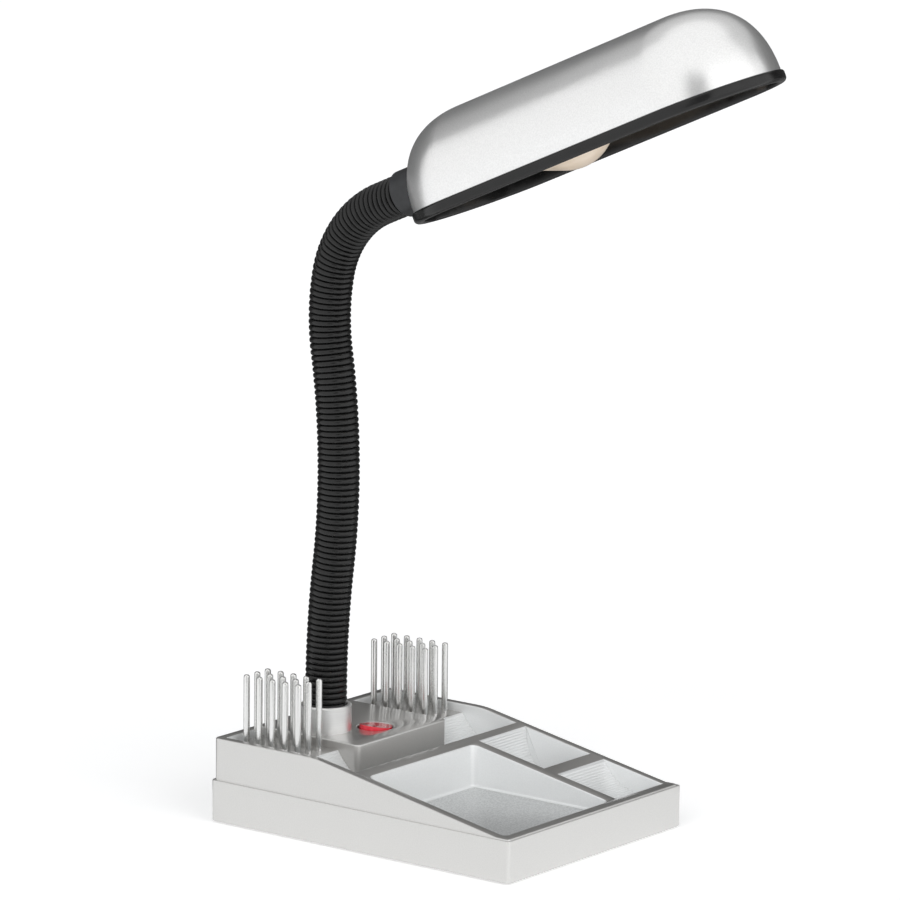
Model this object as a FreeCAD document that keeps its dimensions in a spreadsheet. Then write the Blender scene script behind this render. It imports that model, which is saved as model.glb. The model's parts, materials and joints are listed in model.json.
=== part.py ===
import FreeCAD, Part
import math
import os
import re
import Sketcher

# Desk lamp on an organizer base: a two-part moulded base with open trays, pen pins and a
# rocker switch, a corrugated gooseneck, and a capsule shade with a bare bulb.
# Millimetres. X is the lamp's width, -Y its front, +Z up; the origin is the middle of the
# base on the table. Head pieces are drawn in the head's own frame: its origin is the rear
# tip of the shade's lower edge, -Y runs to the shade's front and Z to its roof.

SIZES = {
    # Base, lower pan
    "foot_stand": 1.0,
    "base_width": 148.0,
    "base_length": 194.5,
    "pan_height": 22.0,
    "pan_wall": 2.2,
    "pan_floor": 2.4,
    "pan_edge": 1.0,
    "back_corner": 3.5,
    "front_corner": 2.0,
    # Base, upper housing
    "housing_inset": 1.3,
    "housing_wall": 2.2,
    "plateau_height": 44.2,
    "lip_height": 22.6,
    "lip_length": 7.75,
    "break_back": 67.95,
    "break_radius": 60.0,
    "spigot_gap": 0.3,
    "side_rim": 6.0,
    "back_rim": 6.25,
    "front_rim": 7.85,
    # Main tray
    "main_inset": 1.0,
    "main_web": 8.3,
    "main_floor": 16.0,
    "main_corner": 3.5,
    "main_cove": 1.5,
    # Two small scoop trays on the right
    "scoop_width": 39.8,
    "scoop_web": 7.3,
    "clip_web": 6.7,
    "clip_share": 0.47125,
    "clip_floor": 7.5,
    "clip_radius": 31.0,
    "coin_web": 8.8,
    "coin_floor": 14.5,
    "coin_radius": 27.0,
    "coin_run": 13.4,
    # Trough, ramp, shelves and block
    "trough_run": 22.2,
    "trough_floor": 20.0,
    "ramp_radius": 43.0,
    "ramp_lead": 0.7,
    "shelf_height": 39.7,
    "block_half": 37.5,
    "block_length": 69.05,
    "block_corner": 3.0,
    # Pen pins
    "pin_radius": 1.625,
    "pin_tip": 0.6,
    "pin_top": 77.9,
    "pin_columns": 3.0,
    "pin_rows": 5.0,
    "pin_pitch_y": 8.57,
    "pin_first_share": 0.2262,
    "pin_pitch_share": 0.2803,
    "pin_back_gap": 8.17,
    # Rocker switch
    "switch_x": 0.15,
    "switch_back": 50.55,
    "rocker_radius": 8.6,
    "rocker_rise": 0.4,
    "rocker_dish": 0.6,
    "rocker_drop": 5.0,
    "rocker_pivot": 3.2,
    "rocker_tilt": 7.0,
    "rocker_gap": 0.6,
    "trunnion_radius": 0.9,
    "trunnion_gap": 0.15,
    "cup_wall": 1.4,
    "cup_depth": 14.0,
    "cup_floor": 2.5,
    "blade_width": 4.8,
    "blade_thickness": 0.8,
    "blade_length": 7.0,
    "blade_spacing": 10.0,
    # Neck: centreline, in the plane x = -neck_left
    "neck_left": 20.75,
    "neck_inset": 34.33,
    "neck_run": 20.1,
    "turn_first": 7.2,
    "length_first": 68.6,
    "turn_second": -16.3,
    "length_second": 111.8,
    "turn_third": 19.9,
    "length_third": 41.2,
    "turn_fourth": 55.6,
    "length_fourth": 52.7,
    "neck_end_run": 28.8,
    # Neck: corrugated sleeve and the core links inside it
    "sleeve_radius": 11.0,
    "rib_depth": 1.4,
    "rib_count": 103.0,
    "rib_rise_share": 0.28,
    "rib_crest_share": 0.44,
    "sleeve_gap": 0.4,
    "core_radius": 5.5,
    "core_bore": 3.2,
    "hinge_gap": 3.0,
    "hinge_side": 31.8,
    "hinge_first": 82.0,
    "hinge_second": 135.0,
    "hinge_third": 190.0,
    "hinge_fourth": 240.0,
    "hinge_head": 290.0,
    # Collar and the threaded tube, washer and nut under it
    "collar_radius": 13.35,
    "collar_height": 14.0,
    "collar_floor": 3.0,
    "collar_edge": 0.6,
    "collar_gap": 0.3,
    "tube_radius": 5.0,
    "tube_bore": 3.0,
    "tube_below": 9.0,
    "tube_above": 6.0,
    "tube_hole_gap": 0.3,
    "thread_gap": 0.05,
    "washer_radius": 11.0,
    "washer_thickness": 1.2,
    "nut_width": 15.0,
    "nut_height": 4.0,
    # Shade
    "shade_length": 221.0,
    "shade_radius": 42.3,
    "shade_height": 43.4,
    "shade_wall": 1.5,
    "arch_share": 0.635,
    "rim_height": 5.9,
    "rim_outset": 1.35,
    "rim_inset": 3.0,
    "rim_upstand": 4.0,
    "rim_gap": 0.3,
    "rim_edge": 1.2,
    "reflector_wall": 0.6,
    "reflector_gap": 0.3,
    "reflector_bottom": 12.0,
    "reflector_rear": 30.0,
    "reflector_front": 26.0,
    # Head fastening, turned a little on the neck
    "neck_axis_rise": 12.8,
    "head_roll": 3.0,
    "ferrule_radius": 12.2,
    "ferrule_length": 13.0,
    "ferrule_grip": 5.0,
    "ferrule_edge": 0.8,
    "ferrule_reach": 9.0,
    "seat_gap": 0.1,
    "saddle_front": 9.0,
    "head_tube_front": 17.5,
    # Lampholder and bulb
    "bulb_axis_rise": 14.9,
    "bulb_radius": 24.0,
    "bulb_tip": 122.3,
    "bulb_length": 88.0,
    "bulb_cap_length": 24.0,
    "bulb_cap_radius": 13.0,
    "bulb_cap_wall": 0.5,
    "bulb_glass_wall": 1.0,
    "bulb_glass_grip": 6.0,
    "bulb_contact_radius": 4.5,
    "bulb_contact_height": 1.5,
    "holder_radius": 17.0,
    "holder_front": 54.0,
    "holder_rear": 22.0,
    "holder_floor": 3.0,
    "holder_gap": 0.3,
    "screw_shell_wall": 0.5,
    "cap_nose_radius": 10.5,
    "cap_nose_length": 4.0,
    "cap_wall": 2.0,
    "spring_width": 6.0,
    "spring_thickness": 0.6,
    # Ballast, feet, screws, cord inlet and wires
    "ballast_side_gap": 7.8,
    "ballast_scoop_gap": 4.0,
    "ballast_boss_gap": 2.0,
    "ballast_back_gap": 29.05,
    "ballast_height": 6.0,
    "peg_radius": 3.0,
    "peg_gap": 0.3,
    "peg_inset": 18.0,
    "peg_screw_radius": 1.5,
    "peg_head_radius": 4.5,
    "peg_head_height": 2.0,
    "peg_screw_length": 7.0,
    "foot_radius": 8.0,
    "foot_height": 2.0,
    "foot_side": 16.0,
    "foot_end": 31.25,
    "boss_side": 18.0,
    "boss_end": 11.75,
    "boss_radius": 5.5,
    "boss_split": 9.0,
    "base_screw_radius": 2.0,
    "base_screw_length": 9.8,
    "screw_head_radius": 3.6,
    "screw_head_height": 2.5,
    "screw_head_sink": 4.0,
    "screw_gap": 0.2,
    "inlet_inset": 16.0,
    "inlet_rise": 8.0,
    "inlet_radius": 3.8,
    "inlet_bore": 2.5,
    "inlet_flange": 5.0,
    "inlet_flange_thickness": 1.5,
    "wire_radius": 1.1,
    "wire_bend": 4.0,
    "wire_rise": 13.0,
    "wire_inside": 5.0,
    "supply_turn": 23.25,
    # One overrun for every cut that has to pass right through
    "overrun": 2.0,
}

PLACES = {
    # Base levels and outlines
    "pan_floor_z": "foot_stand + pan_floor",
    "seam_z": "foot_stand + pan_height",
    "plateau_z": "foot_stand + plateau_height",
    "plateau_under_z": "plateau_z - housing_wall",
    "lip_z": "foot_stand + lip_height",
    "half_width": "base_width / 2",
    "half_length": "base_length / 2",
    "housing_half_width": "half_width - housing_inset",
    "housing_half_length": "half_length - housing_inset",
    "pan_inner_x": "half_width - pan_wall",
    "pan_inner_y": "half_length - pan_wall",
    "spigot_x": "pan_inner_x - spigot_gap",
    "spigot_y": "pan_inner_y - spigot_gap",
    "slope_foot_y": "housing_half_length - lip_length",
    "pocket_x": "half_width - side_rim",
    "pocket_back_y": "half_length - back_rim",
    "above_z": "plateau_z + overrun",
    "break_y": "half_length - break_back",
    # Tray outlines, the rear ones from the back edge and the front ones between rim and trough
    "block_front": "half_length - block_length",
    "trough_front": "block_front - trough_run",
    "ramp_foot": "trough_front - ramp_lead",
    "front_rim_y": "front_rim - half_length",
    "main_left": "main_inset - pocket_x",
    "main_right": "scoop_left - scoop_web",
    "main_back": "trough_front - main_web",
    "scoop_left": "pocket_x - scoop_width",
    "clip_back": "trough_front - clip_web",
    "clip_front": "clip_back - clip_share * (clip_back - front_rim_y)",
    "coin_back": "clip_front - coin_web",
    "coin_centre_y": "front_rim_y + coin_run",
    # Tray floors
    "main_floor_z": "foot_stand + main_floor",
    "spigot_bottom_z": "main_floor_z - housing_wall",
    "clip_floor_z": "foot_stand + clip_floor",
    "clip_centre_z": "clip_floor_z + clip_radius",
    "clip_centre_y": "clip_back - clip_radius",
    "coin_floor_z": "foot_stand + coin_floor",
    "coin_centre_z": "coin_floor_z + coin_radius",
    "shelf_z": "foot_stand + shelf_height",
    "trough_floor_z": "foot_stand + trough_floor",
    "ramp_centre_z": "trough_floor_z + ramp_radius",
    "shelf_edge_y": "ramp_foot + sqrt(ramp_radius ^ 2 - (ramp_centre_z - shelf_z) ^ 2)",
    "hollow_bottom_z": "spigot_bottom_z - overrun",
    "boss_split_z": "foot_stand + boss_split",
    "screw_top_z": "foot_stand + screw_head_sink + base_screw_length + screw_gap",
    "inlet_z": "foot_stand + inlet_rise",
    "wire_z": "foot_stand + wire_rise",
    # Places of the pins, screws, inlet, feet and ballast, and of the supply wire's turn
    "shelf_width": "pocket_x - block_half",
    "pin_first_x": "block_half + pin_first_share * shelf_width",
    "pin_pitch_x": "pin_pitch_share * shelf_width",
    "pin_first_y": "pocket_back_y - pin_back_gap - (pin_rows - 1) * pin_pitch_y",
    "boss_x": "half_width - boss_side",
    "boss_y": "half_length - boss_end",
    "inlet_x": "boss_x - inlet_inset",
    "foot_x": "half_width - foot_side",
    "foot_y": "half_length - foot_end",
    "ballast_left": "ballast_side_gap - pan_inner_x",
    "ballast_right": "scoop_left - housing_wall - ballast_scoop_gap",
    "ballast_front": "boss_radius + ballast_boss_gap - boss_y",
    "ballast_back": "pan_inner_y - ballast_back_gap",
    "peg_front": "ballast_front + peg_inset",
    "peg_back": "ballast_back - peg_inset",
    "supply_turn_y": "half_length - supply_turn",
    # Rocker switch
    "switch_y": "half_length - switch_back",
    "pivot_z": "plateau_z - rocker_pivot",
    "rocker_sweep": "sqrt(rocker_radius ^ 2 + rocker_pivot ^ 2)",
    "switch_hole": "rocker_sweep + 0.5 * rocker_gap",
    "cup_inner": "rocker_sweep + rocker_gap",
    "cup_outer": "cup_inner + cup_wall",
    "cup_bottom_z": "plateau_under_z - cup_depth",
    # Collar and nut stack under the plateau
    "collar_bore": "sleeve_radius + collar_gap",
    "base_tube_bottom_z": "plateau_under_z - tube_below",
    "base_tube_top_z": "plateau_z + collar_floor + tube_above",
    "sleeve_bore": "core_radius + sleeve_gap",
    # Neck: its foot, then each stretch's end, with its lean from upright towards the front
    "neck_back": "half_length - neck_inset",
    "lean_first": "turn_first",
    "lean_second": "lean_first + turn_second",
    "lean_third": "lean_second + turn_third",
    "lean_fourth": "lean_third + turn_fourth",
    "bend_first": "length_first * 180 / (turn_first * pi)",
    "bend_second": "length_second * 180 / (turn_second * pi)",
    "bend_third": "length_third * 180 / (turn_third * pi)",
    "bend_fourth": "length_fourth * 180 / (turn_fourth * pi)",
    "neck_curve_end_y": (
        "neck_back - bend_first * (1 - cos(lean_first))"
        " - bend_second * (cos(lean_first) - cos(lean_second))"
        " - bend_third * (cos(lean_second) - cos(lean_third))"
        " - bend_fourth * (cos(lean_third) - cos(lean_fourth))"
    ),
    "neck_curve_end_z": (
        "plateau_z + neck_run + bend_first * sin(lean_first)"
        " + bend_second * (sin(lean_second) - sin(lean_first))"
        " + bend_third * (sin(lean_third) - sin(lean_second))"
        " + bend_fourth * (sin(lean_fourth) - sin(lean_third))"
    ),
    "neck_curve_length": "neck_run + length_first + length_second + length_third + length_fourth",
    "neck_length": "neck_curve_length + neck_end_run",
    "sleeve_start": "collar_floor",
    "sleeve_end": "neck_length - ferrule_length + ferrule_grip",
    # Head frame
    "head_pitch": "90 - lean_fourth",
    "head_y": (
        "neck_curve_end_y - neck_end_run * cos(head_pitch) - neck_axis_rise * sin(head_pitch)"
    ),
    "head_z": (
        "neck_curve_end_z + neck_end_run * sin(head_pitch) - neck_axis_rise * cos(head_pitch)"
    ),
    "holder_nut_front": "saddle_front + nut_height",
    "bulb_centre": "bulb_tip - bulb_radius",
    "bulb_cap_rear": "bulb_tip - bulb_length",
    "bulb_cap_front": "bulb_cap_rear + bulb_cap_length",
    "holder_bore": "bulb_cap_radius + screw_shell_wall + holder_gap + holder_gap",
    "holder_floor_front": "bulb_cap_rear - bulb_contact_height - spring_thickness - holder_gap",
}

doc = FreeCAD.newDocument("desk_lamp")
sizes = doc.addObject("Spreadsheet::Sheet", "Sizes")
places = doc.addObject("Spreadsheet::Sheet", "Places")
probe = doc.addObject("Spreadsheet::Sheet", "Probe")
WORD = re.compile("[a-z][a-z_]+")


def bound(text, home=None):
    """An expression with each named size and place pointed at its sheet."""
    def cell(match):
        word = match.group()
        if word in SIZES:
            return "Sizes." + word
        if word in PLACES and home is not places:
            return "Places." + word
        return word
    return WORD.sub(cell, text)


def fill_sheets():
    """Writes the driving sizes as plain numbers and the places as formulas."""
    for row, (alias, value) in enumerate(SIZES.items(), start=1):
        sizes.set(f"A{row}", alias)
        sizes.set(f"B{row}", str(value))
        sizes.setAlias(f"B{row}", alias)
    doc.recompute()
    for row, alias in enumerate(PLACES, start=1):
        places.set(f"A{row}", alias)
        places.setAlias(f"B{row}", alias)
    for row, formula in enumerate(PLACES.values(), start=1):
        places.set(f"B{row}", "=" + bound(formula, places))
    doc.recompute()


def number(text):
    """The value of an expression in the named sizes and places."""
    probe.set("A1", "=" + bound(text))
    probe.recompute()
    return float(probe.get("A1"))


def bind(thing, **expressions):
    """Binds properties of an object to expressions; returns the object."""
    for name, text in expressions.items():
        thing.setExpression(name, bound(text))
    return thing


def placement(x, y, z, axis, turn):
    """Expression for a placement: a point and a turn about an axis through it."""
    point = f"create(<<vector>>; {bound(x)}; {bound(y)}; {bound(z)})"
    rotation = f"create(<<rotation>>; create(<<vector>>; {axis}); {bound(turn)})"
    return f"create(<<placement>>; {point}; {rotation})"


def put(thing, x="0", y="0", z="0", axis="1; 0; 0", turn="0"):
    """Binds an object's whole placement; returns the object."""
    thing.setExpression("Placement", placement(x, y, z, axis, turn))
    return thing


def put_on_head(thing):
    """Moves a piece drawn in the head's frame to the lamp, rolled about the neck's axis."""
    place = placement("-neck_left", "head_y", "head_z", "1; 0; 0", "-head_pitch")
    roll = placement("0", "0", "neck_axis_rise", "0; 1; 0", "-head_roll")
    back = placement("0", "0", "-neck_axis_rise", "0; 1; 0", "0")
    thing.setExpression("Placement", f"{place} * {roll} * {back}")
    return thing


def box(name, x, y, z):
    """Box between three pairs of planes."""
    solid = doc.addObject("Part::Box", name)
    sides = [f"({high}) - ({low})" for low, high in (x, y, z)]
    bind(solid, Length=sides[0], Width=sides[1], Height=sides[2])
    return put(solid, x[0], y[0], z[0])


def cylinder(name, radius, span, at, axis="Z"):
    """Cylinder of a radius over a span of its axis; at gives the other two coordinates."""
    solid = doc.addObject("Part::Cylinder", name)
    bind(solid, Radius=radius, Height=f"({span[1]}) - ({span[0]})")
    if axis == "X":
        return put(solid, span[0], at[0], at[1], "0; 1; 0", "90")
    if axis == "Y":
        return put(solid, at[0], span[0], at[1], "-1; 0; 0", "90")
    return put(solid, at[0], at[1], span[0])


def fuse(name, *solids):
    """One solid, or touching solids, from several."""
    joined = doc.addObject("Part::MultiFuse", name)
    joined.Shapes = list(solids)
    joined.Refine = True
    return joined


def cut(name, base, *tools):
    """A solid less one or more others."""
    left = doc.addObject("Part::Cut", name)
    left.Base = base
    left.Tool = tools[0] if len(tools) == 1 else fuse(name + "_tools", *tools)
    left.Refine = True
    return left


def common(name, *solids):
    """What several solids share."""
    shared = doc.addObject("Part::MultiCommon", name)
    shared.Shapes = list(solids)
    shared.Refine = True
    return shared


def group(name, solids):
    """Separate solids kept as one piece of the list."""
    together = doc.addObject("Part::Compound", name)
    together.Links = solids
    return together


def feature(name, shape):
    """A piece whose shape is worked out by Part's own functions."""
    piece = doc.addObject("Part::Feature", name)
    piece.Shape = shape
    return piece


def outline(body, plane, corners, offset="0"):
    """Sketch of a closed outline on an origin plane, each corner held by bound distances."""
    sketch = body.newObject("Sketcher::SketchObject", body.Name + "_outline")
    support = [item for item in body.Origin.OriginFeatures if item.Role == plane][0]
    sketch.AttachmentSupport = [(support, "")]
    sketch.MapMode = "FlatFace"
    sketch.setExpression("AttachmentOffset.Base.z", bound(offset))
    points = [FreeCAD.Vector(number(x), number(y), 0) for x, y in corners]
    for start, end in zip(points, points[1:] + points[:1]):
        sketch.addGeometry(Part.LineSegment(start, end))
    last = len(points) - 1
    for index in range(len(points)):
        before = last if index == 0 else index - 1
        sketch.addConstraint(Sketcher.Constraint("Coincident", before, 2, index, 1))
    for index, (point, corner) in enumerate(zip(points, corners)):
        hold(sketch, "DistanceX", index, point.x, corner[0], -2)
        hold(sketch, "DistanceY", index, point.y, corner[1], -1)
    return sketch


def hold(sketch, kind, index, value, text, axis):
    """Holds one corner's coordinate: on the axis where it is zero, else at a bound distance."""
    if abs(value) < 1e-9:
        sketch.addConstraint(Sketcher.Constraint("PointOnObject", index, 1, axis))
        return
    place = sketch.addConstraint(Sketcher.Constraint(kind, -1, 1, index, 1, value))
    sketch.setExpression(f"Constraints[{place}]", bound(text))


def new_body(name):
    return doc.addObject("PartDesign::Body", name)


def padded(name, plane, corners, start, end):
    """Body padded from an outline between two distances along the plane's normal."""
    body = new_body(name)
    sketch = outline(body, plane, corners, start)
    pad = body.newObject("PartDesign::Pad", name + "_pad")
    pad.Profile = sketch
    bind(pad, Length=f"({end}) - ({start})")
    return body


def turned(name, corners):
    """Body turned about Z from an outline of radius and height."""
    body = new_body(name)
    sketch = outline(body, "XZ_Plane", corners)
    turn = body.newObject("PartDesign::Revolution", name + "_turn")
    turn.Profile = sketch
    turn.ReferenceAxis = (sketch, ["V_Axis"])
    turn.Angle = 360
    return body


def rounded(body, radius, wanted):
    """Fillets the body's edges that a test picks, with a bound radius."""
    doc.recompute()
    base = body.Tip
    names = [f"Edge{i}" for i, edge in enumerate(base.Shape.Edges, start=1) if wanted(edge)]
    fillet = body.newObject("PartDesign::Fillet", body.Name + "_fillet")
    fillet.Base = (base, names)
    bind(fillet, Radius=radius)
    body.Tip = fillet
    return body


def same(first, second):
    return abs(first - second) < 1e-4


def upright(edge):
    """An edge parallel to Z."""
    first, last = edge.Vertexes[0].Point, edge.Vertexes[-1].Point
    return same(first.x, last.x) and same(first.y, last.y) and not same(first.z, last.z)


def level(edge, height):
    """An edge that lies at one height."""
    bounds = edge.BoundBox
    return same(bounds.ZMin, height) and same(bounds.ZMax, height)


def block(name, x, y, z, corner, keep=None):
    """Body with a rectangular plan and rounded upright edges, all or those a test keeps."""
    plan = [(x[0], y[0]), (x[1], y[0]), (x[1], y[1]), (x[0], y[1])]
    body = padded(name, "XY_Plane", plan, z[0], z[1])
    return rounded(body, corner, lambda edge: upright(edge) and (keep is None or keep(edge)))


# Base


def make_housing_outside():
    """The wedge above the seam, with its break in height, and the spigot inside the pan."""
    side = [
        ("-housing_half_length", "seam_z"),
        ("-housing_half_length", "lip_z"),
        ("-slope_foot_y", "lip_z"),
        ("break_y", "plateau_z"),
        ("housing_half_length", "plateau_z"),
        ("housing_half_length", "seam_z"),
    ]
    wedge = padded("wedge", "YZ_Plane", side, "-housing_half_width", "housing_half_width")
    break_y, plateau_z = number("break_y"), number("plateau_z")
    rounded(wedge, "break_radius", lambda edge: level(edge, plateau_z)
            and same(edge.BoundBox.YMin, break_y) and same(edge.BoundBox.YMax, break_y))
    rounded(wedge, "back_corner", lambda edge: upright(edge) and edge.BoundBox.YMin > 0)
    rounded(wedge, "front_corner", lambda edge: upright(edge) and edge.BoundBox.YMax < 0)
    spigot = block("spigot", ("-spigot_x", "spigot_x"), ("-spigot_y", "spigot_y"),
                   ("spigot_bottom_z", "seam_z"), "back_corner - pan_wall")
    return fuse("housing_outside", wedge, spigot)


def make_scoop(name, y, centre, radius, wall):
    """A tray's scooped space, or with a wall its outside: a box cut to a cylinder's curve."""
    left = f"scoop_left - ({wall})"
    right = f"pocket_x + ({wall})"
    ends = (f"({y[0]}) - ({wall})", f"({y[1]}) + ({wall})")
    low = box(name + "_low", (left, right), ends, (f"{centre[1]} - {radius} - ({wall})", centre[1]))
    curve = cylinder(name + "_curve", f"{radius} + ({wall})", (left, right), centre, "X")
    return common(name + "_bowl", low, curve)


def make_housing_spaces():
    """Everything that the upper housing leaves open above: trays, trough and pin shelves."""
    main = block("main_space", ("main_left", "main_right"), ("front_rim_y", "main_back"),
                 ("main_floor_z", "above_z"), "main_corner")
    floor_z = number("main_floor_z")
    rounded(main, "main_cove", lambda edge: level(edge, floor_z))
    clip_y = ("clip_front", "clip_back")
    coin_y = ("front_rim_y", "coin_back")
    clip = make_scoop("clip", clip_y, ("clip_centre_y", "clip_centre_z"), "clip_radius", "0")
    clip_top = box("clip_top", ("scoop_left", "pocket_x"), clip_y, ("clip_centre_z", "above_z"))
    coin = make_scoop("coin", coin_y, ("coin_centre_y", "coin_centre_z"), "coin_radius", "0")
    trough_curve = cylinder("trough_curve", "ramp_radius", ("-pocket_x", "pocket_x"),
                            ("ramp_foot", "ramp_centre_z"), "X")
    trough_run = box("trough_run", ("-pocket_x", "pocket_x"), ("trough_front", "pocket_back_y"),
                     ("trough_floor_z", "above_z"))
    fore = number("block_front")
    centre_block = block("centre_block", ("-block_half", "block_half"),
                         ("block_front", "half_length"), ("spigot_bottom_z", "above_z + overrun"),
                         "block_corner", lambda edge: same(edge.BoundBox.YMin, fore))
    trough = cut("trough_space", common("trough_scoop", trough_run, trough_curve), centre_block)
    shelves = [
        box(f"{side}_shelf_space", reach, ("shelf_edge_y", "pocket_back_y"), ("shelf_z", "above_z"))
        for side, reach in (("left", ("-pocket_x", "-block_half")),
                            ("right", ("block_half", "pocket_x")))
    ]
    return [main, clip, clip_top, coin, trough] + shelves


def make_housing_hollows():
    """What is open from below: under the block, under the shelves and under the ramp."""
    low = "hollow_bottom_z"
    side = ("-pocket_x", "pocket_x")
    under_block = box("under_block", ("housing_wall - block_half", "block_half - housing_wall"),
                      ("block_front + housing_wall", "pocket_back_y"), (low, "plateau_under_z"))
    under_shelves = box("under_shelves", side, ("shelf_edge_y", "pocket_back_y"),
                        (low, "shelf_z - housing_wall"))
    fill = box("ramp_fill", side, ("trough_front + housing_wall", "shelf_edge_y + overrun"),
               (low, "shelf_z - housing_wall"))
    skin = cylinder("ramp_skin", "ramp_radius + housing_wall", ("-half_width", "half_width"),
                    ("ramp_foot", "ramp_centre_z"), "X")
    return [under_block, under_shelves, cut("under_ramp", fill, skin)]


def at_bosses(make):
    """One solid for each of the four screw bosses; make gets a name and the boss's place."""
    signs = [("", ""), ("", "-"), ("-", ""), ("-", "-")]
    return [make(index, (f"{x}boss_x", f"{y}boss_y")) for index, (x, y) in enumerate(signs)]


def make_top_housing():
    """Upper housing: wedge and spigot, less trays and hollows, with bosses for the screws."""
    wall = "housing_wall"
    clip_skin = make_scoop("clip_skin", ("clip_front", "clip_back"),
                           ("clip_centre_y", "clip_centre_z"), "clip_radius", wall)
    clip_skin_low = common("clip_belly", clip_skin, box(
        "clip_belly_room", ("0", "pocket_x + housing_wall"), ("-spigot_y", "spigot_y"),
        ("foot_stand", "spigot_bottom_z + overrun")))
    coin_skin = make_scoop("coin_skin", ("front_rim_y", "coin_back"),
                           ("coin_centre_y", "coin_centre_z"), "coin_radius", wall)
    coin_skin_low = common("coin_belly", coin_skin, box(
        "coin_belly_room", ("0", "pocket_x + housing_wall"), ("-spigot_y", "spigot_y"),
        ("foot_stand", "spigot_bottom_z + overrun")))
    outside = fuse("housing_bellies", make_housing_outside(), clip_skin_low, coin_skin_low)
    switch_hole = cylinder("switch_hole_space", "switch_hole", ("hollow_bottom_z", "above_z"),
                           ("switch_x", "switch_y"))
    tube_hole = cylinder("tube_hole_space", "tube_radius + tube_hole_gap",
                         ("hollow_bottom_z", "above_z"), ("-neck_left", "neck_back"))
    openings = make_housing_spaces() + make_housing_hollows() + [switch_hole, tube_hole]
    moulding = cut("housing_moulding", outside, *openings)
    bosses = at_bosses(lambda index, place: cylinder(
        f"housing_boss_{index}", "boss_radius",
        ("boss_split_z", "spigot_bottom_z + 0.5 * housing_wall" if "-boss_y" in place[1]
         else "shelf_z - 0.5 * housing_wall"), place))
    threads = at_bosses(lambda index, place: cylinder(
        f"housing_thread_{index}", "base_screw_radius + thread_gap",
        ("boss_split_z - overrun", "screw_top_z"), place))
    return cut("top_housing", fuse("housing_with_bosses", moulding, *bosses), *threads)


def make_base_pan():
    """Lower pan: rounded box open above, with screw bosses, ballast pegs and foot recesses."""
    front = number("-half_length")
    body = block("pan_outside", ("-half_width", "half_width"), ("-half_length", "half_length"),
                 ("foot_stand", "seam_z"), "back_corner",
                 lambda edge: not same(edge.BoundBox.YMin, front))
    rounded(body, "front_corner", lambda edge: upright(edge) and same(edge.BoundBox.YMin, front)
            and same(edge.BoundBox.YMax, front))
    bottom = number("foot_stand")
    rounded(body, "pan_edge", lambda edge: level(edge, bottom))
    inside = block("pan_inside", ("-pan_inner_x", "pan_inner_x"), ("-pan_inner_y", "pan_inner_y"),
                   ("pan_floor_z", "seam_z + overrun"), "back_corner - pan_wall")
    shell = cut("pan_shell", body, inside)
    bosses = at_bosses(lambda index, place: cylinder(
        f"pan_boss_{index}", "boss_radius", ("foot_stand + 0.5 * pan_floor", "boss_split_z"), place))
    pegs = [cylinder(f"pan_peg_{index}", "peg_radius",
                     ("foot_stand + 0.5 * pan_floor", "pan_floor_z + ballast_height"), place)
            for index, place in enumerate(peg_places())]
    peg_holes = [cylinder(f"peg_hole_{index}", "peg_screw_radius + thread_gap",
                          ("foot_stand + 0.5 * pan_floor", "above_z"), place)
                 for index, place in enumerate(peg_places())]
    screw_holes = at_bosses(lambda index, place: cylinder(
        f"pan_screw_hole_{index}", "base_screw_radius + screw_gap",
        ("foot_stand - overrun", "above_z"), place))
    head_holes = at_bosses(lambda index, place: cylinder(
        f"pan_head_hole_{index}", "screw_head_radius + screw_gap",
        ("foot_stand - overrun", "foot_stand + screw_head_sink"), place))
    recesses = [cylinder(f"foot_recess_{index}", "foot_radius + screw_gap",
                         ("foot_stand - overrun", "foot_height"), place)
                for index, place in enumerate(foot_places())]
    inlet = cylinder("inlet_hole", "inlet_radius", ("pan_inner_y - overrun", "half_length + overrun"),
                     ("inlet_x", "inlet_z"), "Y")
    whole = fuse("pan_with_bosses", shell, *bosses, *pegs)
    return cut("base_pan", whole, inlet, *peg_holes, *screw_holes, *head_holes, *recesses)


def peg_places():
    middle = "0.5 * (ballast_left + ballast_right)"
    return [(middle, "peg_front"), (middle, "peg_back")]


def foot_places():
    return [(f"{x}foot_x", f"{y}foot_y") for x in ("", "-") for y in ("", "-")]


def make_rubber_feet():
    """Four round feet, half sunk in their recesses."""
    return group("rubber_feet", [cylinder(f"foot_{index}", "foot_radius", ("0", "foot_height"), place)
                                 for index, place in enumerate(foot_places())])


def make_base_screws():
    """Four pan-head screws up through the pan into the housing's bosses."""
    def screw(index, place):
        head_top = "foot_stand + screw_head_sink"
        head = cylinder(f"screw_head_{index}", "screw_head_radius",
                        (f"{head_top} - screw_head_height", head_top), place)
        shank = cylinder(f"screw_shank_{index}", "base_screw_radius",
                         (head_top, f"{head_top} + base_screw_length"), place)
        return fuse(f"screw_{index}", head, shank)
    return group("base_screws", at_bosses(screw))


def make_ballast_plate():
    """Steel plate under the main tray and the neck, held on two pegs."""
    plate = box("ballast_blank", ("ballast_left", "ballast_right"),
                ("ballast_front", "ballast_back"),
                ("pan_floor_z", "pan_floor_z + ballast_height"))
    holes = [cylinder(f"ballast_hole_{index}", "peg_radius + peg_gap", ("foot_stand", "above_z"), place)
             for index, place in enumerate(peg_places())]
    return cut("ballast_plate", plate, *holes)


def make_ballast_screws():
    """Two short screws whose heads clamp the ballast plate."""
    def screw(index, place):
        seat = "pan_floor_z + ballast_height"
        head = cylinder(f"ballast_head_{index}", "peg_head_radius",
                        (seat, f"{seat} + peg_head_height"), place)
        shank = cylinder(f"ballast_shank_{index}", "peg_screw_radius",
                         (f"{seat} - peg_screw_length", seat), place)
        return fuse(f"ballast_screw_{index}", head, shank)
    return group("ballast_screws", [screw(index, place) for index, place in enumerate(peg_places())])


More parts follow.
